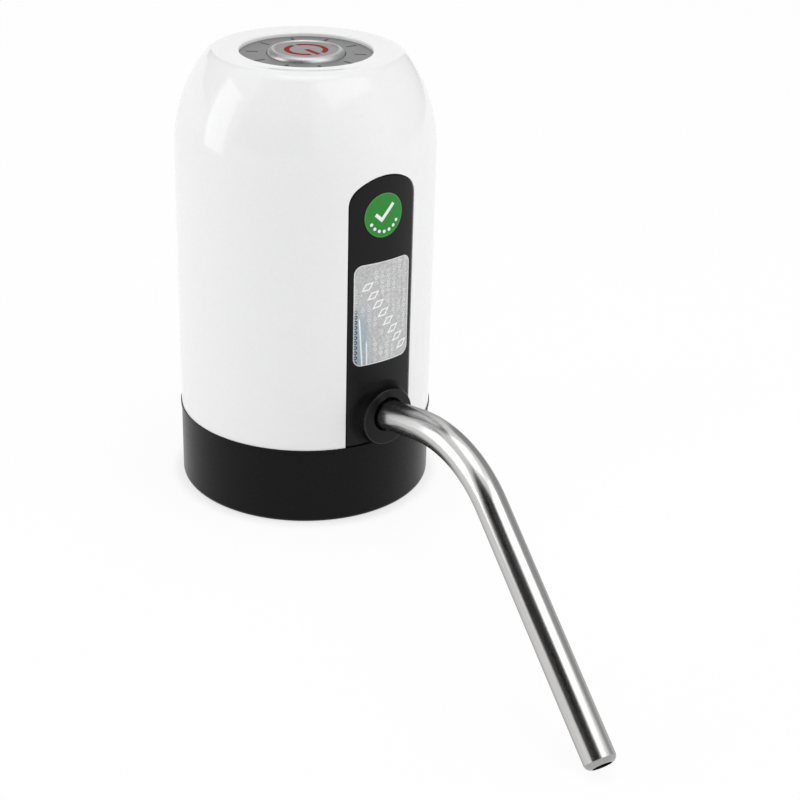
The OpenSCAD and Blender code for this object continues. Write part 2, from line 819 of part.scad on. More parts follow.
module base_collar() {
  color("#1a1a1c") difference() {
    union() {
      rotate_extrude() polygon(skirt_section);
      translate([0, 0, foot_rise]) tube(collar_ring_r, collar_bore_r, web_top - foot_rise);
      translate([0, 0, web_z]) tube(body_r - collar_wall / 2, gasket_hole_d / 2, web_t);
      translate([0, 0, web_z]) tube(lip_r, lip_r - collar_lip_t, base_h + collar_lip_h - web_z);
      for (i = [0:rib_count - 1]) rotate([0, 0, 360 * (i + 0.5) / rib_count])
        translate([collar_ring_r - merge, -rib_t / 2, foot_rise + foot_r])
          cube([skirt_gap + 2 * merge, rib_t, web_z - foot_rise - foot_r + merge]);
      round_array(pillar_at, pillar_turns)
        translate([0, 0, web_top - merge]) cylinder(d = pillar_d, h = deck_under - web_top + merge);
    }
    along_outlet(socket_r + free_gap, socket_end, -shell_wall);
    round_array(pillar_at, pillar_turns)
      translate([0, 0, deck_under - pillar_pilot + over]) pilot(screw_d, pillar_pilot);
    round_array(base_screw_at, base_screw_turns) translate([0, 0, web_z]) clear_hole(screw_d, web_t);
  }
}

module bottom_plate() {
  color("#202022") difference() {
    union() {
      translate([0, 0, plate_z]) cylinder(r = seal_r, h = plate_t);
      translate([0, 0, plate_z - spigot_l]) cylinder(d = spigot_d, h = spigot_l + merge);
      translate([0, 0, web_z - merge]) cylinder(d = nipple_d, h = nipple_l + merge);
    }
    translate([0, 0, plate_z - spigot_l - over])
      cylinder(d = water_d, h = spigot_l + plate_t + nipple_l + 2 * over);
    round_array(base_screw_at, base_screw_turns) translate([0, 0, plate_z]) {
      clear_hole(screw_d, plate_t);
      translate([0, 0, -over])
        cylinder(d = screw_head_d + 4 * part_gap, h = screw_head_h + part_gap + over);
    }
  }
}

module neck_seal() {
  color("#2c2c2e") difference() {
    cylinder(r = seal_r, h = gasket_z);
    translate([0, 0, -over]) cylinder(r = neck_r, h = gasket_z + 2 * over);
    translate([0, 0, neck_grip_h]) cylinder(r = neck_r + neck_relief, h = gasket_z);
  }
}

module neck_gasket() {
  color("#38383a") translate([0, 0, gasket_z]) tube(seal_r, gasket_hole_d / 2, gasket_t);
}

module base_screws() {
  color("silver") round_array(base_screw_at, base_screw_turns)
    translate([0, 0, plate_z + screw_head_h + part_gap])
      large_screw(plate_t + web_t + post_pilot - screw_head_h - tip_room);
}

module dial_panel() {
  color("#97999b") difference() {
    translate([0, 0, dial_under]) cylinder(r = dial_r, h = dial_t);
    translate([0, 0, dial_under - over]) cylinder(r = button_hole_r, h = dial_t + 2 * over);
    ticks(dial_under - over, dial_t + 2 * over, fit_gap);
  }
}

// Copies turned to each tick of the dial
module at_ticks() {
  for (i = [0:tick_count - 1]) rotate([0, 0, 360 * (i + 0.5) / tick_count - 90 + tick_turn]) children();
}

// Bars at the dial's ticks, grown by d
module ticks(z, h, d) {
  at_ticks() translate([tick_in_r - d, -tick_w / 2 - d, z]) cube([tick_l + 2 * d, tick_w + 2 * d, h]);
}

module light_guide() {
  color("#6e7072") union() {
    translate([0, 0, dial_under - guide_t]) tube(guide_out_r, guide_in_r, guide_t);
    ticks(dial_under - merge, dial_t + merge - fit_gap, 0);
  }
}

module power_button() {
  color("#c3c8ca") difference() {
    union() {
      translate([0, 0, button_foot]) cylinder(r = flange_r, h = button_flange_t);
      translate([0, 0, flange_top - merge]) cylinder(r = button_r, h = dial_z - flange_top + merge);
      translate([0, 0, dial_z]) cylinder(r1 = button_r, r2 = button_face_d / 2, h = button_rise);
    }
    difference() {
      translate([0, 0, button_foot - over])
        cylinder(r = button_r - button_wall, h = button_z - button_wall - button_foot + over);
      cylinder(d = stem_d, h = button_z);
    }
    translate([0, 0, button_z - icon_t]) linear_extrude(icon_t + over) icon(fit_gap);
  }
  color("#c3c8ca") translate([0, 0, plunger_top + fit_gap])
    cylinder(d = stem_d, h = button_z - button_wall - plunger_top - fit_gap + merge);
}

// Power symbol with its bar towards the spout, grown by d
module icon(d) {
  r = icon_d / 2;
  difference() {
    circle(r + d);
    circle(r - icon_w - d);
    translate([d - icon_open / 2, -2 * r]) square([icon_open - 2 * d, 2 * r]);
    translate([d - icon_slit / 2, 0]) square([icon_slit - 2 * d, 2 * r]);
  }
  translate([-icon_w / 2 - d, -r - d]) square([icon_w + 2 * d, r + 2 * d]);
}

module power_icon() {
  color("#d8262c") translate([0, 0, button_z - icon_t + fit_gap]) linear_extrude(icon_t - fit_gap) icon(0);
}

module switch_body() {
  color("#26262a") difference() {
    translate([0, 0, board_top]) box(switch_w, switch_w, switch_h);
    translate([0, 0, switch_bore_z]) cylinder(r = plunger_d / 2 + run_gap, h = switch_h);
  }
}

module switch_plunger() {
  color("#4a4a4e") translate([0, 0, switch_top - plunger_grip])
    cylinder(d = plunger_d, h = plunger_top - switch_top + plunger_grip);
}

module control_board() {
  color("#1f6b3a") difference() {
    translate([0, 0, board_z]) cylinder(d = board_d, h = board_t);
    round_array(board_screw_r, board_screw_turns)
      translate([0, 0, board_z]) clear_hole(small_screw_d, board_t);
  }
}

module board_screws() {
  color("silver") round_array(board_screw_r, board_screw_turns)
    translate([0, 0, board_z]) small_screw(board_t + board_drop - hole_floor - tip_room);
}

module indicator_leds() {
  color("#f2f0d8") at_ticks() translate([tick_at, 0, board_top]) box(led_l, led_w, led_h);
}

module board_chips() {
  color("#202024") for (c = chips) translate([c[0], c[1], board_z - c[4]]) box(c[2], c[3], c[4]);
}

// Places of the sockets for the motor, battery and charging leads
motor_socket = pump_at + [2, -2];
battery_socket = [13.5, -5];
charge_socket = [0, 17.5];

module lead_sockets() {
  color("ivory") for (p = [motor_socket, battery_socket, charge_socket])
    translate([p[0], p[1], lead_socket_z]) box(lead_socket_w, lead_socket_l, lead_socket_h);
}

module inner_frame() {
  color("#d9d9d4") difference() {
    union() {
      translate([0, 0, deck_under]) cylinder(r = deck_r, h = deck_t);
      at_battery(deck_z - merge) cylinder(r = battery_cup_r + cup_wall, h = cup_h + merge);
      for (s = [-1, 1]) translate([s * charge_screw[0], charge_screw[1], deck_z - merge])
        cylinder(d = charge_post_d, h = charge_rise + merge);
      at_pump(deck_under - ear_boss_l) for (s = [-1, 1])
        translate([0, s * ear_at, 0]) cylinder(r = ear_r, h = ear_boss_l + merge);
    }
    at_battery(deck_z) cylinder(r = battery_cup_r, h = cup_h + over);
    translate([0, 0, deck_under - over]) cylinder(r = hose_hole_r, h = deck_t + 2 * over);
    at_pump(deck_under - over) cylinder(r = hose_hole_r, h = deck_t + 2 * over);
    round_array(pillar_at, pillar_turns) translate([0, 0, deck_under]) clear_hole(screw_d, deck_t);
    for (s = [-1, 1]) {
      translate([s * charge_screw[0], charge_screw[1], deck_under + hole_floor + over])
        pilot(small_screw_d, deck_t + charge_rise);
      at_pump(deck_under - ear_boss_l + hole_floor + over)
        translate([0, s * ear_at, 0]) pilot(screw_d, ear_boss_l + deck_t);
    }
  }
}

module frame_screws() {
  color("silver") round_array(pillar_at, pillar_turns)
    translate([0, 0, deck_z]) mirror([0, 0, 1]) large_screw(deck_t + pillar_pilot - tip_room);
}

module battery_cell() {
  color("#3f6fb0") at_battery(cell_z) {
    cylinder(r = cell_r, h = cell_l - cell_button_h);
    cylinder(r = cell_button_r, h = cell_l);
  }
}

module battery_sleeve() {
  color("#2f7d4a") at_battery(deck_z + tab_t + part_gap)
    tube(sleeve_r + sleeve_t, sleeve_r, cell_l - 2 * part_gap);
}

// A flat tab on each end of the cell; the lower one runs up the side as a strip
module battery_tabs() {
  color("#c9ccd0") at_battery(0) {
    translate([0, 0, cell_top]) cylinder(r = cell_button_r - merge, h = tab_t);
    translate([0, -strip_w / 2, deck_z]) cube([strip_r + tab_t - strip_sag(), strip_w, tab_t - fit_gap]);
    intersection() {
      translate([0, 0, deck_z]) tube(strip_r + tab_t, strip_r, cell_l + tab_t);
      translate([0, -strip_w / 2, deck_z]) cube([2 * cell_r, strip_w, cell_l + tab_t]);
    }
  }
}

// How far a round strip's edge lies behind its middle
function strip_sag() = strip_r + tab_t - sqrt(pow(strip_r + tab_t, 2) - pow(strip_w / 2, 2));

module charging_board() {
  color("#1f6b3a") difference() {
    translate([0, (charge_front + charge_back) / 2, charge_z]) box(charge_w, charge_l, board_t);
    for (s = [-1, 1]) translate([s * charge_screw[0], charge_screw[1], charge_z])
      clear_hole(small_screw_d, board_t);
  }
}

module charging_screws() {
  color("silver") for (s = [-1, 1]) translate([s * charge_screw[0], charge_screw[1], charge_top])
    mirror([0, 0, 1]) small_screw(board_t + charge_rise);
}

module charging_socket() {
  color("#c4c6c9") difference() {
    translate([0, port_back - port_l / 2, charge_top]) box(port_w, port_l, port_h);
    translate([0, port_back - port_l / 2 + 1, charge_top + port_wall])
      box(port_w - 2 * port_wall, port_l, port_h - 2 * port_wall);
  }
}

module charging_tongue() {
  tongue_t = 0.7;
  tongue_l = port_l - 2;
  color("#151517") translate([0, port_back - port_l + 1 + tongue_l / 2, port_z - tongue_t / 2])
    box(port_w - 2.6, tongue_l, tongue_t);
}

module pump_cover() {
  color("#e4e4e0") at_pump(deck_z) difference() {
    union() {
      cylinder(r = pump_r, h = cover_h);
      for (s = [-1, 1]) {
        translate([0, s * ear_at, 0]) cylinder(r = ear_r, h = ear_t);
        translate([0, s * (ear_at + pump_r - ear_root) / 2, 0])
          box(2 * ear_r, ear_at - pump_r + ear_root, ear_t);
      }
      for (x = [0, -pump_off]) translate([x, 0, -nipple_l]) cylinder(r = nipple_r, h = nipple_l + merge);
    }
    for (x = [0, -pump_off]) translate([x, 0, -nipple_l - over])
      cylinder(r = water_r, h = nipple_l + cover_h - chamber_h + 2 * over);
    translate([0, 0, cover_h - chamber_h]) cylinder(r = chamber_r, h = chamber_h + over);
    translate([0, 0, cover_h - chamber_h]) tube(chamber_out_r, chamber_r + chamber_wall, chamber_h + over);
    for (s = [-1, 1]) translate([0, s * ear_at, 0]) clear_hole(screw_d, ear_t);
    head_holes(0, cover_h);
    round_array(head_screw_at, head_screw_turns) translate([0, 0, -over])
      cylinder(d = small_head_d + 2 * part_gap, h = small_head_h + part_gap + over);
  }
}

// Holes for the screws that close the pump head, through a layer
module head_holes(z, h) {
  round_array(head_screw_at, head_screw_turns)
    translate([0, 0, z - over]) cylinder(d = small_screw_d + 2 * part_gap, h = h + 2 * over);
}

module pump_mount_screws() {
  color("silver") at_pump(deck_z + ear_t) for (s = [-1, 1]) translate([0, s * ear_at, 0])
    mirror([0, 0, 1]) large_screw(ear_t + deck_t + ear_boss_l - hole_floor - tip_room);
}

module valve_plate() {
  color("#b9bcc0") at_pump(valve_z) difference() {
    cylinder(r = pump_r, h = valve_t);
    translate([0, 0, -over]) cylinder(r = outlet_stem_r + fit_gap, h = outlet_stem_l + over);
    head_holes(0, valve_t);
    translate([0, 0, -over]) {
      round_array(inlet_valve_at, cup_turns) {
        cylinder(r = inlet_stem_r + fit_gap, h = valve_t + 2 * over);
        for (s = [-1, 1]) translate([0, s * port_hole_at, 0])
          cylinder(r = port_hole_r, h = valve_t + 2 * over);
      }
      round_array(chamber_r - 2 * port_hole_r, cup_turns) cylinder(r = port_hole_r, h = valve_t + 2 * over);
    }
  }
}

module inlet_valves() {
  flap_t = 0.5;
  color("#b0443c") at_pump(valve_z) round_array(inlet_valve_at, cup_turns) {
    translate([0, 0, valve_t]) cylinder(r = inlet_valve_r, h = flap_t);
    translate([0, 0, -inlet_stem_tail]) cylinder(r = inlet_stem_r, h = inlet_stem_tail + valve_t + flap_t);
  }
}

module outlet_valve() {
  flap_t = 0.6;
  color("#b0443c") at_pump(valve_z) {
    translate([0, 0, -flap_t]) cylinder(r = chamber_r - free_gap, h = flap_t);
    translate([0, 0, -merge]) cylinder(r = outlet_stem_r, h = outlet_stem_l - part_gap + merge);
  }
}

// Height of the tilted drive plate's underside above a cup at the given turn
function drive_under(turn) = pivot_z - cup_at * cos(turn) * sin(pin_tilt) - drive_t / 2 * cos(pin_tilt);

module diaphragm() {
  tip_r = 1.9;
  tip_gap = 0.25;
  stem_r = 0.85;
  knob_r = 1.9;
  knob_h = 1;
  hollow_tip_r = 1;
  color("#3a3a40") at_pump(0) difference() {
    union() {
      translate([0, 0, rim_z]) cylinder(r = pump_r, h = rim_t);
      for (a = cup_turns) rotate([0, 0, a]) translate([cup_at, 0, 0]) {
        top = drive_under(a) - tip_gap;
        knob = drive_under(a) + drive_t + tip_gap;
        translate([0, 0, pump_body_z - merge])
          cylinder(r1 = cup_r, r2 = tip_r, h = top - pump_body_z + merge);
        translate([0, 0, top - merge]) cylinder(r = stem_r, h = knob - top + 2 * merge);
        translate([0, 0, knob]) cylinder(r1 = knob_r, r2 = stem_r, h = knob_h);
      }
    }
    for (a = cup_turns) rotate([0, 0, a]) translate([cup_at, 0, rim_z - over])
      cylinder(
        r1 = cup_r - cup_skin + merge,
        r2 = hollow_tip_r,
        h = drive_under(a) - 2 * cup_skin - rim_z + over
      );
    head_holes(rim_z, rim_t);
  }
}

module pump_body() {
  color("#e4e4e0") at_pump(pump_body_z) difference() {
    cylinder(r = pump_r, h = pump_body_h);
    translate([0, 0, -over]) cylinder(r = pump_bore_r, h = pump_body_h - motor_flange_t + over);
    cylinder(r = crank_hole_r, h = pump_body_h + over);
    round_array(head_screw_at, head_screw_turns)
      pilot(small_screw_d, deck_z + head_screw_l - pump_body_z + tip_room);
    round_array(motor_screw_at, motor_screw_turns)
      cylinder(d = small_screw_d + 2 * part_gap, h = pump_body_h + over);
  }
}

module pump_screws() {
  color("silver") at_pump(deck_z + small_head_h + part_gap) round_array(head_screw_at, head_screw_turns)
    small_screw(head_screw_l - small_head_h);
}

module motor_screws() {
  color("silver") at_pump(motor_z - motor_flange_t) round_array(motor_screw_at, motor_screw_turns)
    small_screw(motor_flange_t + can_floor + merge);
}

// Three-armed plate that rocks on the tilted pin and works the diaphragm's cups
module drive_plate() {
  color("#d6c48a") at_pin() difference() {
    union() {
      translate([0, 0, -drive_hub_down]) cylinder(r = drive_hub_r, h = drive_hub_down + drive_hub_up);
      for (a = cup_turns) rotate([0, 0, a]) {
        translate([0, -drive_arm_r, -drive_t / 2]) cube([cup_at, 2 * drive_arm_r, drive_t]);
        translate([cup_at, 0, -drive_t / 2]) cylinder(r = drive_arm_r, h = drive_t);
      }
    }
    translate([0, 0, -pin_down - part_gap])
      cylinder(r = pin_r + run_gap, h = drive_hub_down + drive_hub_up);
    for (a = cup_turns) rotate([0, 0, a]) translate([cup_at, 0, -drive_t])
      cylinder(r = drive_hole_r, h = 2 * drive_t);
  }
}

module crank() {
  color("#efefe9") difference() {
    at_pump(crank_z) cylinder(r = crank_r, h = crank_h);
    at_pump(crank_top - shaft_in_crank) cylinder(r = shaft_r + fit_gap, h = crank_h);
    at_pin() cylinder(r = pin_r + fit_gap, h = pin_up + fit_gap);
  }
}

module crank_pin() {
  color("silver") at_pin() translate([0, 0, -pin_down]) cylinder(r = pin_r, h = pin_down + pin_up);
}

module motor_shaft() {
  foot = crank_top - shaft_in_crank + fit_gap;
  color("silver") at_pump(foot) cylinder(r = shaft_r, h = cap_top - tip_room - foot);
}

module armature_core() {
  color("#7d7f84") at_pump(armature_z) linear_extrude(armature_l) difference() {
    union() {
      circle(hub_r);
      for (a = pole_turns) rotate(a) {
        translate([0, -pole_web / 2]) square([armature_r - pole_t / 2, pole_web]);
        arc_piece(armature_r, armature_r - pole_t, pole_turn);
      }
    }
    circle(shaft_r + fit_gap);
  }
}

// Piece of a flat ring that spans an angle about the +X side
module arc_piece(r_out, r_in, turn) {
  reach = 2 * r_out;
  intersection() {
    difference() {
      circle(r_out);
      circle(r_in);
    }
    polygon([
      [0, 0],
      reach * [cos(turn / 2), -sin(turn / 2)],
      [reach, 0],
      reach * [cos(turn / 2), sin(turn / 2)]
    ]);
  }
}

module armature_windings() {
  overhang = 1.5;
  coil_t = 1.2;
  from = hub_r + 2 * free_gap;
  to = armature_r - pole_t - 2 * free_gap;
  slot_w = pole_web + 2 * fit_gap;
  coil_w = pole_web + 2 * coil_t;
  color("#b5622b") at_pump(armature_z - overhang) for (a = pole_turns) rotate([0, 0, a]) difference() {
    translate([from, -coil_w / 2, 0]) cube([to - from, coil_w, armature_l + 2 * overhang]);
    translate([from - over, -slot_w / 2, overhang - fit_gap])
      cube([to - from + 2 * over, slot_w, armature_l + 2 * fit_gap]);
  }
}

module commutator() {
  slit_w = 0.3;
  slit_depth = 0.5;
  color("#c07a3c") at_pump(commutator_z) difference() {
    tube(commutator_r, shaft_r + fit_gap, commutator_l);
    for (a = pole_turns) rotate([0, 0, a + 30])
      translate([commutator_r - slit_depth, -slit_w / 2, -over])
        cube([over, slit_w, commutator_l + 2 * over]);
  }
}

module motor_can() {
  color("#b9bcc2") at_pump(motor_z) difference() {
    union() {
      cylinder(r = motor_r, h = can_h);
      translate([0, 0, -nose_h]) cylinder(r = nose_r, h = nose_h + merge);
    }
    translate([0, 0, can_floor]) cylinder(r = can_in_r, h = can_h);
    translate([0, 0, -nose_h - over]) cylinder(r = bearing_r + fit_gap, h = nose_h + can_floor + 2 * over);
    round_array(motor_screw_at, motor_screw_turns) pilot(small_screw_d, can_floor + over);
  }
}

module motor_magnets() {
  color("#4b4b52") at_pump(magnet_z) for (a = [90, 270]) rotate([0, 0, a])
    linear_extrude(magnet_l) arc_piece(magnet_r, magnet_r - magnet_t, magnet_turn);
}

module motor_bushes() {
  color("#b08d57") at_pump(0) {
    translate([0, 0, motor_z - nose_h]) tube(bearing_r, shaft_r + run_gap, bearing_l);
    translate([0, 0, cap_under]) tube(bearing_r, shaft_r + run_gap, bearing_l);
  }
}

module motor_brushes() {
  brush_t = 0.6;
  brush_w = 2.4;
  color("#3b3b3f") at_pump(commutator_z + part_gap) for (s = [0, 180]) rotate([0, 0, s])
    translate([commutator_r + run_gap, -brush_w / 2, 0])
      cube([brush_t, brush_w, cap_under - commutator_z - part_gap]);
}

module motor_end_cap() {
  color("#efefef") at_pump(cap_under) difference() {
    union() {
      cylinder(r = can_in_r - fit_gap, h = cap_plug + merge);
      translate([0, 0, cap_plug]) cylinder(r = motor_r, h = cap_h);
    }
    translate([0, 0, -over]) cylinder(r = bearing_r + fit_gap, h = bearing_l + over + fit_gap);
    for (s = [-1, 1]) translate([0, s * terminal_at, -over])
      box(terminal_t + 2 * fit_gap, terminal_w + 2 * fit_gap, cap_plug + cap_h + 2 * over);
  }
}

module motor_terminals() {
  color("#c9a45a") at_pump(cap_under + part_gap) for (s = [-1, 1]) translate([0, s * terminal_at, 0])
    box(terminal_t, terminal_w, terminal_l);
}

module inlet_hose() {
  foot = web_z + part_gap;
  color("#d8dce0") translate([0, 0, foot]) tube(hose_r, hose_in_r, deck_z - foot - part_gap);
}

// From the pump's outlet nipple down and round to the nipple behind the outlet's socket
module outlet_hose() {
  top = [pump_at[0], pump_at[1], deck_z - part_gap];
  turn = [pump_at[0], pump_at[1], deck_z - nipple_l];
  inward = [0, cos(outlet_tilt), -sin(outlet_tilt)];
  root = [0, -body_r, outlet_z] + (socket_end + part_gap) * inward;
  tip = [0, -body_r, outlet_z] + (socket_end + outlet_nipple_l) * inward;
  bend = curve(turn, [-1.2, -1.6, -hose_bend], tip, -hose_bend * inward, 14);
  color("#d8dce0") hose(concat([top], bend, [root]));
}

module spout_bush() {
  front = bush_sink;
  color("#2b2b2d") difference() {
    along_outlet(bush_r, bush_back, front);
    along_outlet(bush_in_r, bush_back - bush_stop_t, front - over);
    along_outlet(spout_d / 2 - spout_wall, bush_back + over, bush_back - bush_stop_t - over);
  }
}

// Steel tube: straight out of the bush, one bend, then straight down to a rounded mouth
module spout_tube() {
  r = spout_d / 2;
  bore = r - spout_wall;
  mouth = spout_mouth_d / 2;
  lip = r - mouth;
  color("#b4b6ba") at_outlet() rotate([0, spout_turn, 0]) {
    translate([0, spout_seat, 0]) rotate([90, 0, 0]) tube(r, bore, spout_seat + spout_straight + merge);
    translate([0, -spout_straight, -spout_bend_r]) {
      rotate([0, 0, 180]) rotate([0, -90, 0]) rotate_extrude(angle = spout_bend)
        translate([spout_bend_r, 0]) difference() {
          circle(r - bend_thin);
          circle(bore + bend_thin);
        }
      rotate([spout_bend, 0, 0]) translate([0, merge, spout_bend_r]) rotate([90, 0, 0]) {
        tube(r, bore, spout_drop - lip + merge);
        translate([0, 0, spout_drop - lip + merge]) rotate_extrude() intersection() {
          translate([mouth, 0]) circle(lip);
          translate([mouth, 0]) square(lip);
        }
      }
    }
  }
}

// Where a lead meets its socket, on one side or the other
function socket_pin(at, side) = [at[0] + side * lead_pitch / 2, at[1], lead_socket_z - fit_gap];

module motor_leads() {
  color("#c23b30") for (s = [-1, 1]) {
    side = [-sin(pump_turn), cos(pump_turn)] * s * terminal_at;
    from = [pump_at[0] + side[0], pump_at[1] + side[1], terminal_top + fit_gap];
    lead(lead_path(from, [0, 0, 4], socket_pin(motor_socket, s), [0, 0, 4], 12));
  }
}

module battery_leads() {
  plus = [battery_at[0], battery_at[1], cell_top + tab_t + fit_gap];
  minus = [battery_at[0] + strip_r + tab_t / 2, battery_at[1], cell_top + fit_gap];
  color("#b03030") {
    lead(lead_path(plus, [0, 0, 2], socket_pin(battery_socket, -1), [0, 0, 3], 12));
    lead(lead_path(minus, [0, 0, 3], socket_pin(battery_socket, 1), [0, 0, 3], 12));
  }
}

module charge_leads() {
  color("#303034") for (s = [-1, 1]) {
    from = [s * lead_pitch / 2, charge_front + lead_d, charge_top + fit_gap];
    lead(lead_path(from, [0, 0, 20], socket_pin(charge_socket, s), [0, 0, 20], 16));
  }
}

// Thin skin on the panel's front with the given outline
module panel_skin() {
  intersection() {
    tube(panel_r + fit_gap + label_t, panel_r + fit_gap, body_h);
    forwards(body_r + over) children();
  }
}

module round_sticker() {
  color("#2f9a4b") panel_skin() translate([sticker_side, sticker_z]) circle(d = sticker_d);
}

module foil_label() {
  w = label_w / 2 - label_r;
  h = label_h / 2 - label_r;
  color("#c8cbd0") panel_skin() translate([0, label_z]) {
    square([2 * w, 2 * h + 2 * label_r], center = true);
    square([2 * w + 2 * label_r, 2 * h], center = true);
    for (x = [-w, w]) for (z = [-h, h]) translate([x, z]) circle(label_r);
  }
}

outer_shell();
front_panel();
base_collar();
bottom_plate();
neck_seal();
neck_gasket();
base_screws();
dial_panel();
light_guide();
power_button();
power_icon();
switch_plunger();
switch_body();
control_board();
indicator_leds();
board_chips();
lead_sockets();
board_screws();
inner_frame();
frame_screws();
battery_cell();
battery_sleeve();
battery_tabs();
charging_board();
charging_socket();
charging_tongue();
charging_screws();
pump_cover();
valve_plate();
inlet_valves();
outlet_valve();
diaphragm();
pump_body();
pump_screws();
pump_mount_screws();
drive_plate();
crank();
crank_pin();
motor_shaft();
armature_core();
armature_windings();
commutator();
motor_can();
motor_magnets();
motor_bushes();
motor_brushes();
motor_end_cap();
motor_terminals();
motor_screws();
inlet_hose();
outlet_hose();
spout_bush();
spout_tube();
motor_leads();
battery_leads();
charge_leads();
round_sticker();
foil_label();
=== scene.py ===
"""Looks of the electric water jug pump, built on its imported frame.

Metres, +Z up, spout towards -Y. Shapes are worked out in millimetres and scaled by MM.
"""
import json
from math import asin, atan2, cos, hypot, pi, radians, sin, sqrt

import bmesh
import bpy
from mathutils import Matrix, Vector


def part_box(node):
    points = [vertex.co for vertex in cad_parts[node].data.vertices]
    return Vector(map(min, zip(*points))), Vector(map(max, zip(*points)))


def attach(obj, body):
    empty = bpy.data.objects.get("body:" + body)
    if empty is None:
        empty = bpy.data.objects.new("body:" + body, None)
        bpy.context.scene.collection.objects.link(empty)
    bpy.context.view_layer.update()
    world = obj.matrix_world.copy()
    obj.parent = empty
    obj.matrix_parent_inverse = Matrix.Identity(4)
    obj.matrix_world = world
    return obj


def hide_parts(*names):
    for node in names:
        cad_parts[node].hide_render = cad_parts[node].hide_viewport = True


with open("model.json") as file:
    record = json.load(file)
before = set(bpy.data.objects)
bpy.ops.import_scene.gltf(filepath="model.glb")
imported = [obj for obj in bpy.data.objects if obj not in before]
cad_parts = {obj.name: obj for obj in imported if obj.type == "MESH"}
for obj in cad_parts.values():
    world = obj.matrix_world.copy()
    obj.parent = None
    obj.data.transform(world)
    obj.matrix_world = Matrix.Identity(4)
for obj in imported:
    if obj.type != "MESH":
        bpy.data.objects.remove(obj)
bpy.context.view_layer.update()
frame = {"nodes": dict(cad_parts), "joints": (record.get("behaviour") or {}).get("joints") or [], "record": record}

MM = 0.001


def extent(name):
    """Lowest and highest corner of a CAD node, in millimetres."""
    low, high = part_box(name)
    return low / MM, high / MM


# Sizes that the frame gives
BODY_R = extent("outer_shell")[1].x
TOP_Z = extent("outer_shell")[1].z
BASE_R = extent("base_collar")[1].x
DIAL_R = extent("dial_panel")[1].x
DIAL_UNDER = extent("dial_panel")[0].z
DIAL_Z = extent("dial_panel")[1].z
BUTTON_Z = extent("power_icon")[1].z
SWIVEL = [j for j in frame["joints"] if j["name"] == "spout_swivel"][0]
OUTLET = Vector(SWIVEL["pos_m"]) / MM
OUTLET_AXIS = Vector(SWIVEL["axis"]).normalized()

# Shell
STRIP_GAP = 0.15
SEAM_Z = extent("front_panel")[0].z - STRIP_GAP
SIDE_STEP = 40
SHELL_WALL = 2.0
SHOULDER_Z = TOP_Z - 27.9
SHOULDER_R = 43.0
SHOULDER_CX = BODY_R - SHOULDER_R
RIM_R = 4.2
RIM_ANGLE = asin((TOP_Z - RIM_R - SHOULDER_Z) / (SHOULDER_R - RIM_R))
RIM_CX = SHOULDER_CX + (SHOULDER_R - RIM_R) * cos(RIM_ANGLE)
CREASE_R = 23.8
CREASE_HALF = 0.15
CREASE_STEP = 0.1
LIP_ROUND = 0.6
LIP_DROP = 0.2
DIAL_GAP = 0.1
LEDGE_R = DIAL_R - 1.6
LEDGE_Z = DIAL_UNDER - 1.5
SHELL_EDGE = 0.2
WINDOW_W = 11.4
WINDOW_H = 6.4
WINDOW_Z = sum(corner.z for corner in extent("charging_socket")) / 2

# Front strip and outlet boss
STRIP_W = 22.6
STRIP_TOP_Z = TOP_Z - 26.5
STRIP_FOOT = SEAM_Z + 0.4
STRIP_EDGE = 0.3
GROOVE_W = 0.3
ARCH_R = 14.9
CORNER_R = 6.2
STRIP_R = BODY_R - 0.1
BOSS_R = 8.5
BOSS_Z = OUTLET.z - 0.3
BOSS_OUT = 3.4
BOSS_FRONT = -BODY_R - BOSS_OUT
BOSS_FLARE = 2.0
BOSS_FILLET = 2.5
BOSS_EDGE = 0.3
BORE_R = 5.13
BORE_DEPTH = 12.0
EDGE_TOUCH = 0.02
SIDE_TOUCH = 0.05

# Spout
SPOUT_R = 4.5
SPOUT_WALL = 1.0
SPOUT_SEAT = 10.0
SPOUT_STRAIGHT = 17.4
SPOUT_BEND_R = 42.4
SPOUT_BEND = radians(50.2)
SPOUT_DROP = 74.2
SPOUT_TURN = radians(8.0)
MOUTH_R = 2.75
MOUTH_CUT = 0.27
MOUTH_TURN = radians(-41.0)

# Button
BUTTON_R = 11.0
BUTTON_FOOT = DIAL_UNDER - 1.2
BUTTON_LOW = DIAL_Z - 0.1
BUTTON_RIM_R = 9.3
BUTTON_FACE_R = 8.7
BUTTON_DISH = 0.3
FACE_EDGE = 0.3
FACE_Z = BUTTON_Z - BUTTON_DISH
FACE_TOUCH = 0.01
ICON_R = 6.2
ICON_W = 1.5
ICON_OPEN = 4.0
ICON_SLIT = 1.1
ICON_DEPTH = 0.25
ICON_GAP = 0.03
ICON_SINK = 0.01

# Sticker and label
low, high = extent("round_sticker")
STICKER_R = (high.z - low.z) / 2
STICKER_Z = high.z - STICKER_R
STICKER_X = (low.x + high.x) / 2
low, high = extent("foil_label")
LABEL_W = high.x - low.x
LABEL_H = high.z - low.z
LABEL_Z = high.z - LABEL_H / 2
LABEL_CORNER = 2.6
LABEL_IN_R = STRIP_R + 0.03
LABEL_T = 0.12
LABEL_OUT_R = LABEL_IN_R + LABEL_T
PRINT_T = 0.02
TICK = [(-2.9, 0.6), (-0.9, -1.2), (3.0, 3.0)]
TICK_W = 1.0
DOTS = 7
DOT_R = 0.5
DOT_RING = 4.7
DOT_STEP = 21

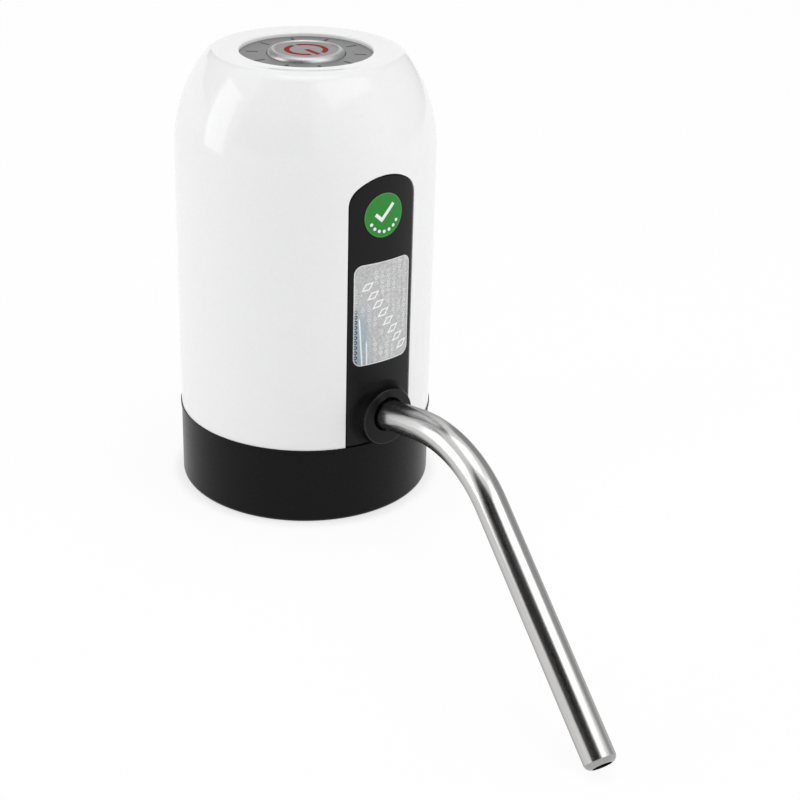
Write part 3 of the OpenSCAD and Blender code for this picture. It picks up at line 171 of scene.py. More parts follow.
# Fineness of the meshes
SEGMENTS = 256
STRIP_SEGMENTS = 1440
LAYER_SEGMENTS = 720
SHOULDER_STEPS = 40
RIM_STEPS = 16
SHELL_LIP_STEPS = 8
CEILING_STEPS = 20
ROUND_STEPS = 5
STRIP_CORNER_STEPS = 10
ARCH_STEPS = 40
WINDOW_STEPS = 16
BOSS_SIDES = 96
FLARE_STEPS = 12
BOSS_EDGE_STEPS = 6
SPOUT_SIDES = 96
OUT_STEPS = 6
BEND_STEPS = 60
DROP_STEPS = 24
LIP_STEPS = 8
BUTTON_STEPS = 14
ICON_STEPS = 40
LABEL_CORNER_STEPS = 8
STICKER_SIDES = 72
DOT_SIDES = 16

# Boolean cuts: how far the tools reach, and the gap that joins the points which a cut leaves
CUT_FAR = 2 * BODY_R
CUT_NEAR = BODY_R / 2
CUT_BELOW = 5
CUT_PAST = 1
CARVE_GAP = 0.001

# Points and edges that a new mesh joins, in metres
MERGE_GAP = 1e-7
EDGE_MIN = 1e-8

# Angles in degrees past which an edge is shaded as a crease
CREASE = 30
STRIP_CREASE = 35
SPOUT_CREASE = 40
BUTTON_CREASE = 25

# Faces within 4 degrees of the exact shape take its normals
FACING = cos(radians(4))


# Mesh tools

def new_object(name, data):
    """Object in the scene with the given data."""
    obj = bpy.data.objects.new(name, data)
    bpy.context.scene.collection.objects.link(obj)
    return obj


def clean(mesh, merge, shortest, outwards=False):
    """Joins points that lie together, drops edges without length and may turn faces outwards."""
    work = bmesh.new()
    work.from_mesh(mesh)
    bmesh.ops.remove_doubles(work, verts=work.verts, dist=merge)
    bmesh.ops.dissolve_degenerate(work, edges=work.edges, dist=shortest)
    if outwards:
        bmesh.ops.recalc_face_normals(work, faces=work.faces)
    work.to_mesh(mesh)
    work.free()


def make_object(name, verts, faces):
    """Mesh object from points in millimetres, with its faces turned outwards."""
    mesh = bpy.data.meshes.new(name)
    mesh.from_pydata([Vector(v) * MM for v in verts], [], faces)
    clean(mesh, MERGE_GAP, EDGE_MIN, outwards=True)
    return new_object(name, mesh)


def loft(name, rings, closed=False):
    """Solid through rings of points.

    Closed joins the last ring to the first; otherwise both ends are capped.
    """
    count = len(rings[0])
    verts = [p for ring in rings for p in ring]
    faces = []
    for i in range(len(rings) - (0 if closed else 1)):
        a = i * count
        b = (i + 1) % len(rings) * count
        for k in range(count):
            j = (k + 1) % count
            faces.append((a + k, a + j, b + j, b + k))
    if not closed:
        faces.append(tuple(range(count)))
        faces.append(tuple(range(len(verts) - count, len(verts))))
    return make_object(name, verts, faces)


def full_turn(count):
    """Even angles round a circle."""
    return [2 * pi * k / count for k in range(count)]


def revolve(name, profile, segments=SEGMENTS):
    """Solid of revolution about Z from a closed profile of (radius, height) points."""
    turns = full_turn(segments)
    rings = [[(r * cos(a), r * sin(a), z) for a in turns] for r, z in profile]
    return loft(name, rings, closed=True)


def carve(obj, tool, operation="DIFFERENCE"):
    """Applies a boolean with another object, which is then removed, and cleans the result."""
    modifier = obj.modifiers.new("carve", "BOOLEAN")
    modifier.object = tool
    modifier.operation = operation
    modifier.solver = "EXACT"
    bpy.context.view_layer.update()
    result = obj.evaluated_get(bpy.context.evaluated_depsgraph_get())
    mesh = bpy.data.meshes.new_from_object(result)
    obj.modifiers.clear()
    old = obj.data
    obj.data = mesh
    mesh.name = obj.name
    bpy.data.meshes.remove(old)
    bpy.data.objects.remove(tool)
    clean(mesh, CARVE_GAP * MM, CARVE_GAP * MM)
    return obj


def join(name, pieces):
    """One object out of several."""
    work = bmesh.new()
    for piece in pieces:
        work.from_mesh(piece.data)
        bpy.data.objects.remove(piece)
    mesh = bpy.data.meshes.new(name)
    work.to_mesh(mesh)
    work.free()
    return new_object(name, mesh)


def shade(obj, angle=CREASE, normal=None):
    """Smooth shading with creases past an angle.

    Normal is a function that gives the exact normals of the body's round faces.
    """
    mesh = obj.data
    mesh.polygons.foreach_set("use_smooth", [True] * len(mesh.polygons))
    mesh.set_sharp_from_angle(angle=radians(angle))
    if normal is None:
        return obj
    normals = [tuple(c.vector) for c in mesh.corner_normals]
    for face in mesh.polygons:
        if face.normal.dot(normal(face.center)) < FACING:
            continue
        for i in face.loop_indices:
            normals[i] = tuple(normal(mesh.vertices[mesh.loops[i].vertex_index].co))
    mesh.normals_split_custom_set(normals)
    return obj


def mark_points(obj, name, vectors):
    """Stores a vector on every point of a mesh, for its material to read."""
    attribute = obj.data.attributes.new(name, "FLOAT_VECTOR", "POINT")
    attribute.data.foreach_set("vector", [c for v in vectors for c in v])


def arc(cx, cy, r, start, end, steps):
    """Points of an arc between two angles."""
    angles = [start + (end - start) * i / steps for i in range(steps + 1)]
    return [(cx + r * cos(a), cy + r * sin(a)) for a in angles]


def circle(cx, cy, r, sides):
    """Points of a full circle."""
    return arc(cx, cy, r, 0, 2 * pi - 2 * pi / sides, sides - 1)


def rounded():
    """Steps of a quarter round.

    Each says how far in from the edge and how deep below the face, as shares of the radius.
    """
    turns = [i * pi / 2 / ROUND_STEPS for i in range(ROUND_STEPS + 1)]
    return [(1 - sin(a), 1 - cos(a)) for a in turns]


def body_radius(z):
    """Radius of the body's outside up to the rim."""
    if z <= SHOULDER_Z:
        return BODY_R
    return SHOULDER_CX + sqrt(SHOULDER_R**2 - (z - SHOULDER_Z) ** 2)


def body_normal(point):
    """Exact normal of the body's outside below the rim."""
    rise = max(point.z / MM - SHOULDER_Z, 0) / SHOULDER_R
    flat = round_normal(point) * sqrt(1 - min(rise, 1) ** 2)
    return (flat + Vector((0, 0, rise))).normalized()


def round_normal(point):
    """Exact normal of an upright cylinder about the body's axis."""
    return Vector((point.x, point.y, 0)).normalized()


def front_y(x, r):
    """Y of the front of an upright cylinder about the body's axis."""
    return -sqrt(r * r - x * x)


# Pieces

def shell_profile():
    """Section of the shell: up the outside, over the rim to the dial's ledge and back inside."""
    outside = [(BODY_R, SEAM_Z), (BODY_R, SEAM_Z + SIDE_STEP)]
    outside += arc(SHOULDER_CX, SHOULDER_Z, SHOULDER_R, 0, RIM_ANGLE, SHOULDER_STEPS)
    outside += arc(RIM_CX, TOP_Z - RIM_R, RIM_R, RIM_ANGLE, pi / 2, RIM_STEPS)[1:]
    outside += [
        (CREASE_R + CREASE_HALF, TOP_Z),
        (CREASE_R, TOP_Z - CREASE_STEP / 2),
        (CREASE_R - CREASE_HALF, TOP_Z - CREASE_STEP),
    ]
    lip_r = DIAL_R + DIAL_GAP
    lip_z = TOP_Z - LIP_DROP
    outside += arc(lip_r + LIP_ROUND, lip_z - LIP_ROUND, LIP_ROUND, pi / 2, pi, SHELL_LIP_STEPS)
    seat = [(lip_r, DIAL_UNDER), (LEDGE_R, DIAL_UNDER), (LEDGE_R, LEDGE_Z)]
    inner_r = SHOULDER_R - SHELL_WALL
    ceiling = asin((LEDGE_Z - SHOULDER_Z) / inner_r)
    inside = arc(SHOULDER_CX, SHOULDER_Z, inner_r, ceiling, 0, CEILING_STEPS)
    return outside + seat + inside + [(BODY_R - SHELL_WALL, SEAM_Z)]


def strip_outline(grow, foot):
    """Outline of the strip seen from the front, from its right foot over the top to its left.

    Grow moves it outwards.
    """
    half = STRIP_W / 2 + grow
    centre = STRIP_TOP_Z - ARCH_R
    big = ARCH_R + grow
    small = CORNER_R + grow
    rise = sqrt((big - small) ** 2 - (half - small) ** 2)
    turn = atan2(rise, half - small)
    right = arc(half - small, centre + rise, small, 0, turn, STRIP_CORNER_STEPS)
    top = arc(0, centre, big, turn, pi - turn, ARCH_STEPS)
    left = arc(small - half, centre + rise, small, pi - turn, pi, STRIP_CORNER_STEPS)
    return [(half, foot)] + right + top[1:] + left[1:] + [(-half, foot)]


def strip_tool(name, inset, edge, below, radius):
    """Body with the strip's outline, less an inset, and with a rounding where it meets the face.

    The rounding widens it by an edge, or narrows it if that is negative; radius gives the face's
    radius at a height.
    """
    rings = [[(x, -CUT_FAR, z) for x, z in strip_outline(edge - inset, below)]]
    for share, depth in rounded():
        outline = strip_outline(edge * share - inset, below)
        rings.append([(x, front_y(x, radius(z) - abs(edge) * depth), z) for x, z in outline])
    rings.append([(x, -CUT_NEAR, z) for x, z in strip_outline(-inset, below)])
    return loft(name, rings)


def window_cutter():
    """Body that cuts the charging window out of the shell's back."""
    def outline(grow):
        r = WINDOW_H / 2 + grow
        side = (WINDOW_W - WINDOW_H) / 2
        right = arc(side, WINDOW_Z, r, -pi / 2, pi / 2, WINDOW_STEPS)
        return right + arc(-side, WINDOW_Z, r, pi / 2, 3 * pi / 2, WINDOW_STEPS)

    rings = [[(x, CUT_FAR, z) for x, z in outline(SHELL_EDGE)]]
    for share, depth in rounded():
        r = BODY_R - SHELL_EDGE * depth
        rings.append([(x, -front_y(x, r), z) for x, z in outline(SHELL_EDGE * share)])
    rings.append([(x, CUT_NEAR, z) for x, z in outline(0)])
    return loft("window_cutter", rings)


def make_shell():
    """White shell with the strip's place and the charging window cut out."""
    shell = revolve("white_shell", shell_profile())
    carve(shell, strip_tool("strip_cutter", 0, SHELL_EDGE, SEAM_Z - CUT_BELOW, body_radius))
    carve(shell, window_cutter())
    return shade(shell, normal=body_normal)


def boss_ring(r, y_of):
    """Ring of points round the boss at a radius, never below the strip's foot."""
    points = []
    for a in full_turn(BOSS_SIDES):
        x = r * cos(a)
        z = max(BOSS_Z + r * sin(a), STRIP_FOOT)
        points.append((x, y_of(x), z))
    return points


def make_boss():
    """Outlet boss that flares into the strip."""
    def face(x):
        return front_y(x, STRIP_R)

    rings = [boss_ring(BOSS_R + BOSS_FLARE, lambda x: face(x) + SHELL_WALL / 2)]
    for i in range(FLARE_STEPS + 1):
        a = i * pi / (2 * FLARE_STEPS)
        r = BOSS_R + BOSS_FLARE * (1 - sin(a))
        rings.append(boss_ring(r, lambda x: face(x) - BOSS_FILLET * (1 - cos(a))))
    for i in range(BOSS_EDGE_STEPS + 1):
        a = i * pi / (2 * BOSS_EDGE_STEPS)
        y = BOSS_FRONT + BOSS_EDGE * (1 - sin(a))
        rings.append(boss_ring(BOSS_R - BOSS_EDGE * (1 - cos(a)), lambda x: y))
    return loft("boss", rings)


def outlet_bar(r, start, end):
    """Round bar along the outlet's axis between two distances from the body's face."""
    side = Vector((1, 0, 0))
    up = side.cross(OUTLET_AXIS)
    rings = []
    for d in (start, end):
        centre = OUTLET + OUTLET_AXIS * d
        rings.append([centre + r * (side * cos(a) + up * sin(a)) for a in full_turn(BOSS_SIDES)])
    return loft("outlet_bar", rings)


def make_strip():
    """Black strip with a rounded edge, the boss and the outlet's bore."""
    inner = STRIP_R - SHELL_WALL
    top = STRIP_TOP_Z + CUT_PAST
    section = [(STRIP_R, STRIP_FOOT), (STRIP_R, top), (inner, top), (inner, STRIP_FOOT)]
    strip = revolve("front_strip", section, STRIP_SEGMENTS)
    below = STRIP_FOOT - CUT_BELOW
    limit = strip_tool("strip_limit", GROOVE_W, -STRIP_EDGE, below, lambda z: STRIP_R)
    carve(strip, limit, "INTERSECT")
    carve(strip, make_boss(), "UNION")
    carve(strip, outlet_bar(BORE_R, -BORE_DEPTH, 2 * BOSS_R))
    return shade(strip, STRIP_CREASE, round_normal)


def boss_reach(point):
    """Distance of a point from the boss's middle, seen from the front."""
    return hypot(point.x, point.z - BOSS_Z)


def on_boss_edge(point):
    """Whether a point lies on the rounding round the boss's front."""
    deep = BOSS_FRONT - EDGE_TOUCH < point.y < BOSS_FRONT + BOSS_EDGE + EDGE_TOUCH
    return deep and boss_reach(point) > BOSS_R - BOSS_EDGE - EDGE_TOUCH


def on_boss_side(point, out):
    """Whether a point lies on the boss's flare, at least a distance out from the strip's face."""
    face = -sqrt(max(STRIP_R**2 - point.x**2, 0))
    deep = BOSS_FRONT + BOSS_EDGE < point.y < face - out
    return deep and boss_reach(point) > BOSS_R - SIDE_TOUCH


def spout_path():
    """Lengths along the spout with the angle that it has turned by there."""
    path = [(-SPOUT_SEAT, 0.0)]
    path += [(SPOUT_STRAIGHT * i / OUT_STEPS, 0.0) for i in range(OUT_STEPS + 1)]
    for i in range(1, BEND_STEPS + 1):
        along = SPOUT_BEND_R * SPOUT_BEND * i / BEND_STEPS
        path.append((SPOUT_STRAIGHT + along, SPOUT_BEND * i / BEND_STEPS))
    bent = path[-1][0]
    drop = SPOUT_DROP - SPOUT_R + MOUTH_R
    return path + [(bent + drop * i / DROP_STEPS, SPOUT_BEND) for i in range(1, DROP_STEPS + 1)]


def make_spout():
    """Steel tube: straight out, one bend, straight down to a rounded mouth."""
    turn = Matrix.Rotation(-SPOUT_TURN, 3, OUTLET_AXIS)
    side = turn @ Vector((1, 0, 0))
    up = side.cross(OUTLET_AXIS)
    up = up if up.z > 0 else -up
    path = spout_path()
    end = path[-1]
    lip = SPOUT_R - MOUTH_R
    rings = []
    marks = []

    def place(s, a):
        """Centre, outer side and direction of the tube at a length where it has turned by a."""
        straight = min(s, SPOUT_STRAIGHT)
        rest = max(s - SPOUT_STRAIGHT - SPOUT_BEND_R * a, 0) if a == SPOUT_BEND else 0
        ahead = OUTLET_AXIS * cos(a) - up * sin(a)
        normal = up * cos(a) + OUTLET_AXIS * sin(a)
        centre = OUTLET + OUTLET_AXIS * straight
        centre = centre + OUTLET_AXIS * SPOUT_BEND_R * sin(a) - up * SPOUT_BEND_R * (1 - cos(a))
        return centre + ahead * rest, normal, ahead

    def ring(s, a, r, shift=0.0, tilt=0):
        """Adds a ring of points, and for each its place round and along the tube."""
        centre, normal, ahead = place(s, a)
        points = []
        for t in full_turn(SPOUT_SIDES):
            cut = MOUTH_CUT * r / SPOUT_R * (1 + cos(t - MOUTH_TURN)) * tilt
            points.append(centre + ahead * (shift - cut) + r * (normal * cos(t) + side * sin(t)))
            marks.append((cos(t), sin(t), (s + shift) * MM))
        rings.append(points)

    for s, a in path:
        ring(s, a, SPOUT_R)
    for i in range(1, LIP_STEPS + 1):
        t = i * pi / 2 / LIP_STEPS
        ring(*end, MOUTH_R + lip * cos(t), lip * sin(t), 1)
    ring(*end, MOUTH_R, 0.0, 1)
    for s, a in reversed(path):
        ring(s, a, SPOUT_R - SPOUT_WALL)
    spout = loft("steel_spout", rings, closed=True)
    mark_points(spout, "along", marks)
    return shade(spout, SPOUT_CREASE)


def icon_shapes(grow):
    """Outlines of the power symbol: two arcs of its ring and its bar."""
    outer = ICON_R + grow
    inner = ICON_R - ICON_W - grow

    def edge(r, gap):
        return asin((gap / 2 - grow) / r)

    def side(r):
        """Angles between which a half ring of a radius runs."""
        return -pi / 2 + edge(r, ICON_OPEN), pi / 2 - edge(r, ICON_SLIT)

    out = arc(0, 0, outer, *side(outer), ICON_STEPS)
    back = arc(0, 0, inner, *reversed(side(inner)), ICON_STEPS)
    shapes = [[(mirror * x, y) for x, y in out + back] for mirror in (1, -1)]
    half = ICON_W / 2 + grow
    foot = -ICON_R - grow
    shapes.append([(-half, foot), (half, foot), (half, grow), (-half, grow)])
    return shapes


def prism(name, outline, low, high):
    """Upright prism between two heights."""
    return loft(name, [[(x, y, z) for x, y in outline] for z in (low, high)])


def make_button():
    """Push button with a dished face inside a rounded rim, and a recess for its symbol."""
    profile = [(0, BUTTON_FOOT), (BUTTON_R, BUTTON_FOOT)]
    wide = BUTTON_R - BUTTON_RIM_R
    steep = 2 * atan2(BUTTON_Z - BUTTON_LOW, wide)
    bend = wide / sin(steep)
    for i in range(BUTTON_STEPS):
        a = steep * (1 - i / BUTTON_STEPS)
        profile.append((BUTTON_RIM_R + bend * sin(a), BUTTON_Z - bend * (1 - cos(a))))
    for i in range(BUTTON_STEPS):
        t = i / BUTTON_STEPS
        r = BUTTON_RIM_R + (BUTTON_FACE_R - BUTTON_RIM_R) * t
        profile.append((r, BUTTON_Z - BUTTON_DISH * (1 - cos(pi * t)) / 2))
    profile += [(BUTTON_FACE_R, FACE_Z), (BUTTON_FACE_R - FACE_EDGE, FACE_Z), (0, FACE_Z)]
    button = revolve("push_button", profile)
    for outline in icon_shapes(ICON_GAP):
        carve(button, prism("icon_recess", outline, FACE_Z - ICON_DEPTH, FACE_Z + CUT_PAST))
    return shade(button, BUTTON_CREASE)


def make_icon():
    """Red power symbol, sunk a little into the button's face."""
    low = FACE_Z - ICON_DEPTH + ICON_SINK
    pieces = [prism("icon_part", o, low, FACE_Z - ICON_SINK) for o in icon_shapes(0)]
    return shade(join("power_symbol", pieces))


def on_strip(name, outline, low_r, high_r):
    """Thin layer on the strip's face with an outline seen from the front."""
    heights = [z for x, z in outline]
    low = min(heights) - CUT_PAST
    high = max(heights) + CUT_PAST
    section = [(low_r, low), (high_r, low), (high_r, high), (low_r, high)]
    layer = revolve(name, section, LAYER_SEGMENTS)
    rings = [[(x, y, z) for x, z in outline] for y in (-CUT_FAR, -CUT_NEAR)]
    carve(layer, loft("limit", rings), "INTERSECT")
    mark_points(layer, "flat", [(v.co.x / MM, v.co.z / MM, 0.0) for v in layer.data.vertices])
    return shade(layer, normal=round_normal)


def make_label():
    """Foil label with round corners."""
    half = LABEL_W / 2 - LABEL_CORNER
    low = LABEL_Z - LABEL_H / 2 + LABEL_CORNER
    high = LABEL_Z + LABEL_H / 2 - LABEL_CORNER
    outline = []
    for x, z, a in ((half, low, -pi / 2), (half, high, 0), (-half, high, pi / 2), (-half, low, pi)):
        outline += arc(x, z, LABEL_CORNER, a, a + pi / 2, LABEL_CORNER_STEPS)
    return on_strip("foil", outline, LABEL_IN_R, LABEL_OUT_R)


def make_sticker():
    """Round sticker."""
    outline = circle(STICKER_X, STICKER_Z, STICKER_R, STICKER_SIDES)
    return on_strip("green_sticker", outline, LABEL_IN_R, LABEL_OUT_R)


def make_sticker_print():
    """Generic white print on the sticker: a tick mark over a row of dots."""
    top = LABEL_OUT_R + PRINT_T
    tick = stroke_outline([(x + STICKER_X, z + STICKER_Z) for x, z in TICK], TICK_W)
    pieces = [on_strip("tick_mark", tick, LABEL_OUT_R, top)]
    for i in range(DOTS):
        a = radians(-90 + (i - DOTS // 2) * DOT_STEP)
        x = STICKER_X + DOT_RING * cos(a)
        z = STICKER_Z + DOT_RING * sin(a)
        pieces.append(on_strip("dot", circle(x, z, DOT_R, DOT_SIDES), LABEL_OUT_R, top))
    return join("sticker_print", pieces)


def stroke_outline(line, width):
    """Outline of a bent stroke of even width."""
    left, right = [], []
    for i, p in enumerate(line):
        before = Vector(p) - Vector(line[i - 1]) if i else None
        after = Vector(line[i + 1]) - Vector(p) if i + 1 < len(line) else None
        ways = [w.normalized() for w in (before, after) if w is not None]
        normal = sum((Vector((-w.y, w.x)) for w in ways), Vector((0, 0))).normalized()
        reach = width / 2 / normal.dot(Vector((-ways[0].y, ways[0].x)))
        left.append(tuple(Vector(p) + normal * reach))
        right.append(tuple(Vector(p) - normal * reach))
    return left + right[::-1]


# Materials

# Sockets of a mix node for colours: share, first, second and result
MIX_SHARE, MIX_FIRST, MIX_SECOND, MIX_RESULT = 0, 6, 7, 2

# Noise of the surfaces: its detail, the range of it that counts, and the bump's depth in metres
NOISE_DETAIL = 4.0
NOISE_LOW = 0.3
NOISE_HIGH = 0.7
BUMP_DEPTH = 0.0001


def node(tree, kind, **values):
    """New shader node with the given properties and input values."""
    made = tree.nodes.new(kind)
    for key, value in values.items():
        if hasattr(made, key):
            setattr(made, key, value)
        else:
            made.inputs[key.replace("_", " ")].default_value = value
    return made


def new_material(name):
    """New material with its node tree and its shader."""
    made = bpy.data.materials.new(name)
    made.use_nodes = True
    return made, made.node_tree, made.node_tree.nodes["Principled BSDF"]


def surface(name, colour, roughness, scale, spread, metallic=0.0, rough_spread=0.05, bump=0.05,
            stretch=(1, 1, 1), source="Object", specular=0.5, tint=1.0):
    """Principled material whose colour, gloss and relief vary with a fine noise."""
    made, tree, shader = new_material(name)
    shader.inputs["Metallic"].default_value = metallic
    shader.inputs["Specular IOR Level"].default_value = specular
    shader.inputs["Specular Tint"].default_value = (tint, tint, tint, 1)
    if source == "Object":
        place = node(tree, "ShaderNodeTexCoord").outputs["Object"]
    else:
        place = node(tree, "ShaderNodeAttribute", attribute_name=source).outputs["Vector"]
    mapping = node(tree, "ShaderNodeMapping", Scale=stretch)
    noise = node(tree, "ShaderNodeTexNoise", Scale=scale, Detail=NOISE_DETAIL)
    tree.links.new(place, mapping.inputs["Vector"])
    tree.links.new(mapping.outputs["Vector"], noise.inputs["Vector"])
    ramp = node(tree, "ShaderNodeValToRGB")
    stops = ramp.color_ramp.elements
    for stop, share, at in zip(stops, (1 - spread, 1 + spread), (NOISE_LOW, NOISE_HIGH)):
        stop.color = [min(c * share, 1) for c in colour] + [1]
        stop.position = at
    tree.links.new(noise.outputs["Fac"], ramp.inputs["Fac"])
    tree.links.new(ramp.outputs["Color"], shader.inputs["Base Color"])
    gloss = node(tree, "ShaderNodeMapRange", From_Min=NOISE_LOW, From_Max=NOISE_HIGH,
                 To_Min=max(roughness - rough_spread, 0), To_Max=roughness + rough_spread)
    tree.links.new(noise.outputs["Fac"], gloss.inputs["Value"])
    tree.links.new(gloss.outputs["Result"], shader.inputs["Roughness"])
    relief = node(tree, "ShaderNodeBump", Strength=bump, Distance=BUMP_DEPTH)
    tree.links.new(noise.outputs["Fac"], relief.inputs["Height"])
    tree.links.new(relief.outputs["Normal"], shader.inputs["Normal"])
    return made


def calc(tree, operation, first, second=0.0):
    """Output of a maths node on two sockets or numbers."""
    made = node(tree, "ShaderNodeMath", operation=operation)
    for socket, value in zip(made.inputs, (first, second)):
        if isinstance(value, (int, float)):
            socket.default_value = value
        else:
            tree.links.new(value, socket)
    return made.outputs[0]


def fade(tree, value, start, end):
    """Smooth step that is 0 at the start and 1 at the end, which may lie below it."""
    made = node(tree, "ShaderNodeMapRange", interpolation_type="SMOOTHSTEP",
                From_Min=start, From_Max=end)
    tree.links.new(value, made.inputs["Value"])
    return made.outputs["Result"]


def away(tree, value, pitch):
    """Distance of a value from the nearest multiple of a pitch."""
    return calc(tree, "PINGPONG", value, pitch / 2)


def gap(tree, value, target):
    """Distance of a value from a target."""
    return calc(tree, "ABSOLUTE", calc(tree, "SUBTRACT", value, target))


def length(tree, first, second):
    """Length of a flat vector."""
    squares = [calc(tree, "MULTIPLY", v, v) for v in (first, second)]
    return calc(tree, "SQRT", calc(tree, "ADD", *squares))


def blend_of(tree, x, z, along_x, along_z, shift=0.0):
    """Sum of two coordinates, each with its share, and a shift."""
    parts = calc(tree, "MULTIPLY", x, along_x), calc(tree, "MULTIPLY", z, along_z)
    return calc(tree, "ADD", calc(tree, "ADD", *parts), shift)


def both(tree, *masks):
    """Product of several masks or shares."""
    result = masks[0]
    for mask in masks[1:]:
        result = calc(tree, "MULTIPLY", result, mask)
    return result


def paint(made, mask, colour):
    """Lays a colour over a material's own where a mask is 1."""
    tree = made.node_tree
    socket = tree.nodes["Principled BSDF"].inputs["Base Color"]
    mix = node(tree, "ShaderNodeMix", data_type="RGBA")
    tree.links.new(mask, mix.inputs[MIX_SHARE])
    tree.links.new(socket.links[0].from_socket, mix.inputs[MIX_FIRST])
    mix.inputs[MIX_SECOND].default_value = (*colour, 1)
    tree.links.new(mix.outputs[MIX_RESULT], socket)


def split_xyz(tree, vector):
    """Outputs with the parts of a vector."""
    split = node(tree, "ShaderNodeSeparateXYZ")
    tree.links.new(vector, split.inputs[0])
    return split.outputs


def strip_place(tree):
    """Vector with a point's place on the strip in millimetres, seen from the front."""
    return node(tree, "ShaderNodeAttribute", attribute_name="flat").outputs["Vector"]


def flat_place(tree, x, z):
    """Coordinates on the strip in millimetres, counted from a point."""
    parts = split_xyz(tree, strip_place(tree))
    return calc(tree, "SUBTRACT", parts["X"], x), calc(tree, "SUBTRACT", parts["Y"], z)


# Print of the foil label, in millimetres from its middle. Pairs are where a mark fades in or out.
BAND_ALONG = 0.526
BAND_ACROSS = 0.85
BAND_SHIFT = 0.1
BAND_EDGE = (2.3, 2.6)
BAND_MIDDLE = -1.7
BAND_ENDS = (13.4, 13.0)
LOZENGE_PITCH = 3.38
LOZENGE_FLAT = 0.5
LOZENGE_R = 0.95
LOZENGE_LINE = (0.3, 0.16)
LOZENGE_CUT = (2.5, 2.3)
LOZENGE_COLOUR = (0.9, 0.9, 0.9)
RING_PITCH_X = 2.1
RING_PITCH_Z = 1.55
RING_SHIFT = 0.6
RING_R = 0.45
RING_LINE = (0.24, 0.08)
RING_SHARE = 0.7
RING_COLOUR = (0.82, 0.82, 0.83)
PATCH_SCALE = 0.3
PATCH_DETAIL = 2.0
PATCH_SHOWN = (0.36, 0.62)
BLUE_TINT_X = (-2.5, -8.0)
BLUE_TINT_Z = (5.0, -5.0)
BLUE_TINT_SHARE = 0.75
BLUE_TINT_COLOUR = (0.3, 0.42, 0.5)
DARK_X = (-7.6, -8.2)
DARK_Z = (4.0, 0.0)
DARK_COLOUR = (0.03, 0.045, 0.06)
# Folds in the bluish corner, each with a painted highlight along it: lean, shift, line and height of each
FOLDS = [(0.072, 7.94, (0.34, 0.12), (0.0, -1.5)), (0.03, 5.8, (0.3, 0.1), (-7.0, -9.0))]
FOLD_HIGHLIGHT = (0.9, 0.92, 0.94)
FOLD_RELIEF = 2.0
BORDER_EDGE = (0.45, 0.25)
BORDER_SHARE = 0.6
BORDER_COLOUR = (0.8, 0.8, 0.81)

# Pale cut edge of the sticker
STICKER_RIM = (0.4, 0.2)
STICKER_RIM_SHARE = 0.2
STICKER_RIM_COLOUR = (0.2, 0.42, 0.22)


def print_foil(made):
    """Draws on the label's material.

    Embossed rings, a plain diagonal band of lozenges, a bluish tint towards the lower left with
    painted highlights along its folds, and a pale border.
    """
    tree = made.node_tree
    x, z = flat_place(tree, 0.0, LABEL_Z)
    across = blend_of(tree, x, z, BAND_ACROSS, BAND_ALONG, BAND_SHIFT)
    across = calc(tree, "ABSOLUTE", across)
    along = blend_of(tree, x, z, -BAND_ALONG, BAND_ACROSS)

    ring_x = away(tree, calc(tree, "ADD", x, RING_SHIFT), RING_PITCH_X)
    reach = length(tree, ring_x, away(tree, z, RING_PITCH_Z))
    rings = fade(tree, gap(tree, reach, RING_R), *RING_LINE)
    beside = fade(tree, across, *BAND_EDGE)
    patches = node(tree, "ShaderNodeTexNoise", Scale=PATCH_SCALE, Detail=PATCH_DETAIL)
    tree.links.new(strip_place(tree), patches.inputs["Vector"])
    shown = fade(tree, patches.outputs["Fac"], *PATCH_SHOWN)
    paint(made, both(tree, rings, beside, shown, RING_SHARE), RING_COLOUR)

    # Bluish tint towards the lower left corner
    blue_tint = both(tree, fade(tree, x, *BLUE_TINT_X), fade(tree, z, *BLUE_TINT_Z))
    paint(made, both(tree, blue_tint, BLUE_TINT_SHARE), BLUE_TINT_COLOUR)
    dark = both(tree, fade(tree, x, *DARK_X), fade(tree, z, *DARK_Z))
    paint(made, both(tree, dark, rings), DARK_COLOUR)
    folds = []
    for lean, shift, line, height in FOLDS:
        beyond = calc(tree, "ABSOLUTE", blend_of(tree, x, z, 1.0, lean, shift))
        folds.append(both(tree, fade(tree, beyond, *line), fade(tree, z, *height)))
    folds = calc(tree, "MAXIMUM", *folds)
    # Painted highlights along the folds
    paint(made, folds, FOLD_HIGHLIGHT)

    shape = blend_of(tree, away(tree, along, LOZENGE_PITCH), across, 1.0, LOZENGE_FLAT)
    lozenges = fade(tree, gap(tree, shape, LOZENGE_R), *LOZENGE_LINE)
    ends = fade(tree, gap(tree, along, BAND_MIDDLE), *BAND_ENDS)
    lozenges = both(tree, lozenges, ends, fade(tree, across, *LOZENGE_CUT))
    paint(made, lozenges, LOZENGE_COLOUR)

    beyond = []
    for value, size in ((x, LABEL_W), (z, LABEL_H)):
        reach = calc(tree, "ABSOLUTE", value)
        past = calc(tree, "SUBTRACT", reach, size / 2 - LABEL_CORNER)
        beyond.append(calc(tree, "MAXIMUM", past, 0.0))
    border = fade(tree, length(tree, *beyond), *[LABEL_CORNER - edge for edge in BORDER_EDGE])
    paint(made, both(tree, border, BORDER_SHARE), BORDER_COLOUR)

    relief = [n for n in tree.nodes if n.bl_idname == "ShaderNodeBump"][0].inputs["Height"]
    height = calc(tree, "ADD", relief.links[0].from_socket, both(tree, folds, FOLD_RELIEF))
    tree.links.new(height, relief)


def print_sticker(made):
    """Draws the pale cut edge round the sticker."""
    tree = made.node_tree
    reach = length(tree, *flat_place(tree, STICKER_X, STICKER_Z))
    rim = fade(tree, reach, *[STICKER_R - edge for edge in STICKER_RIM])
    paint(made, both(tree, rim, STICKER_RIM_SHARE), STICKER_RIM_COLOUR)


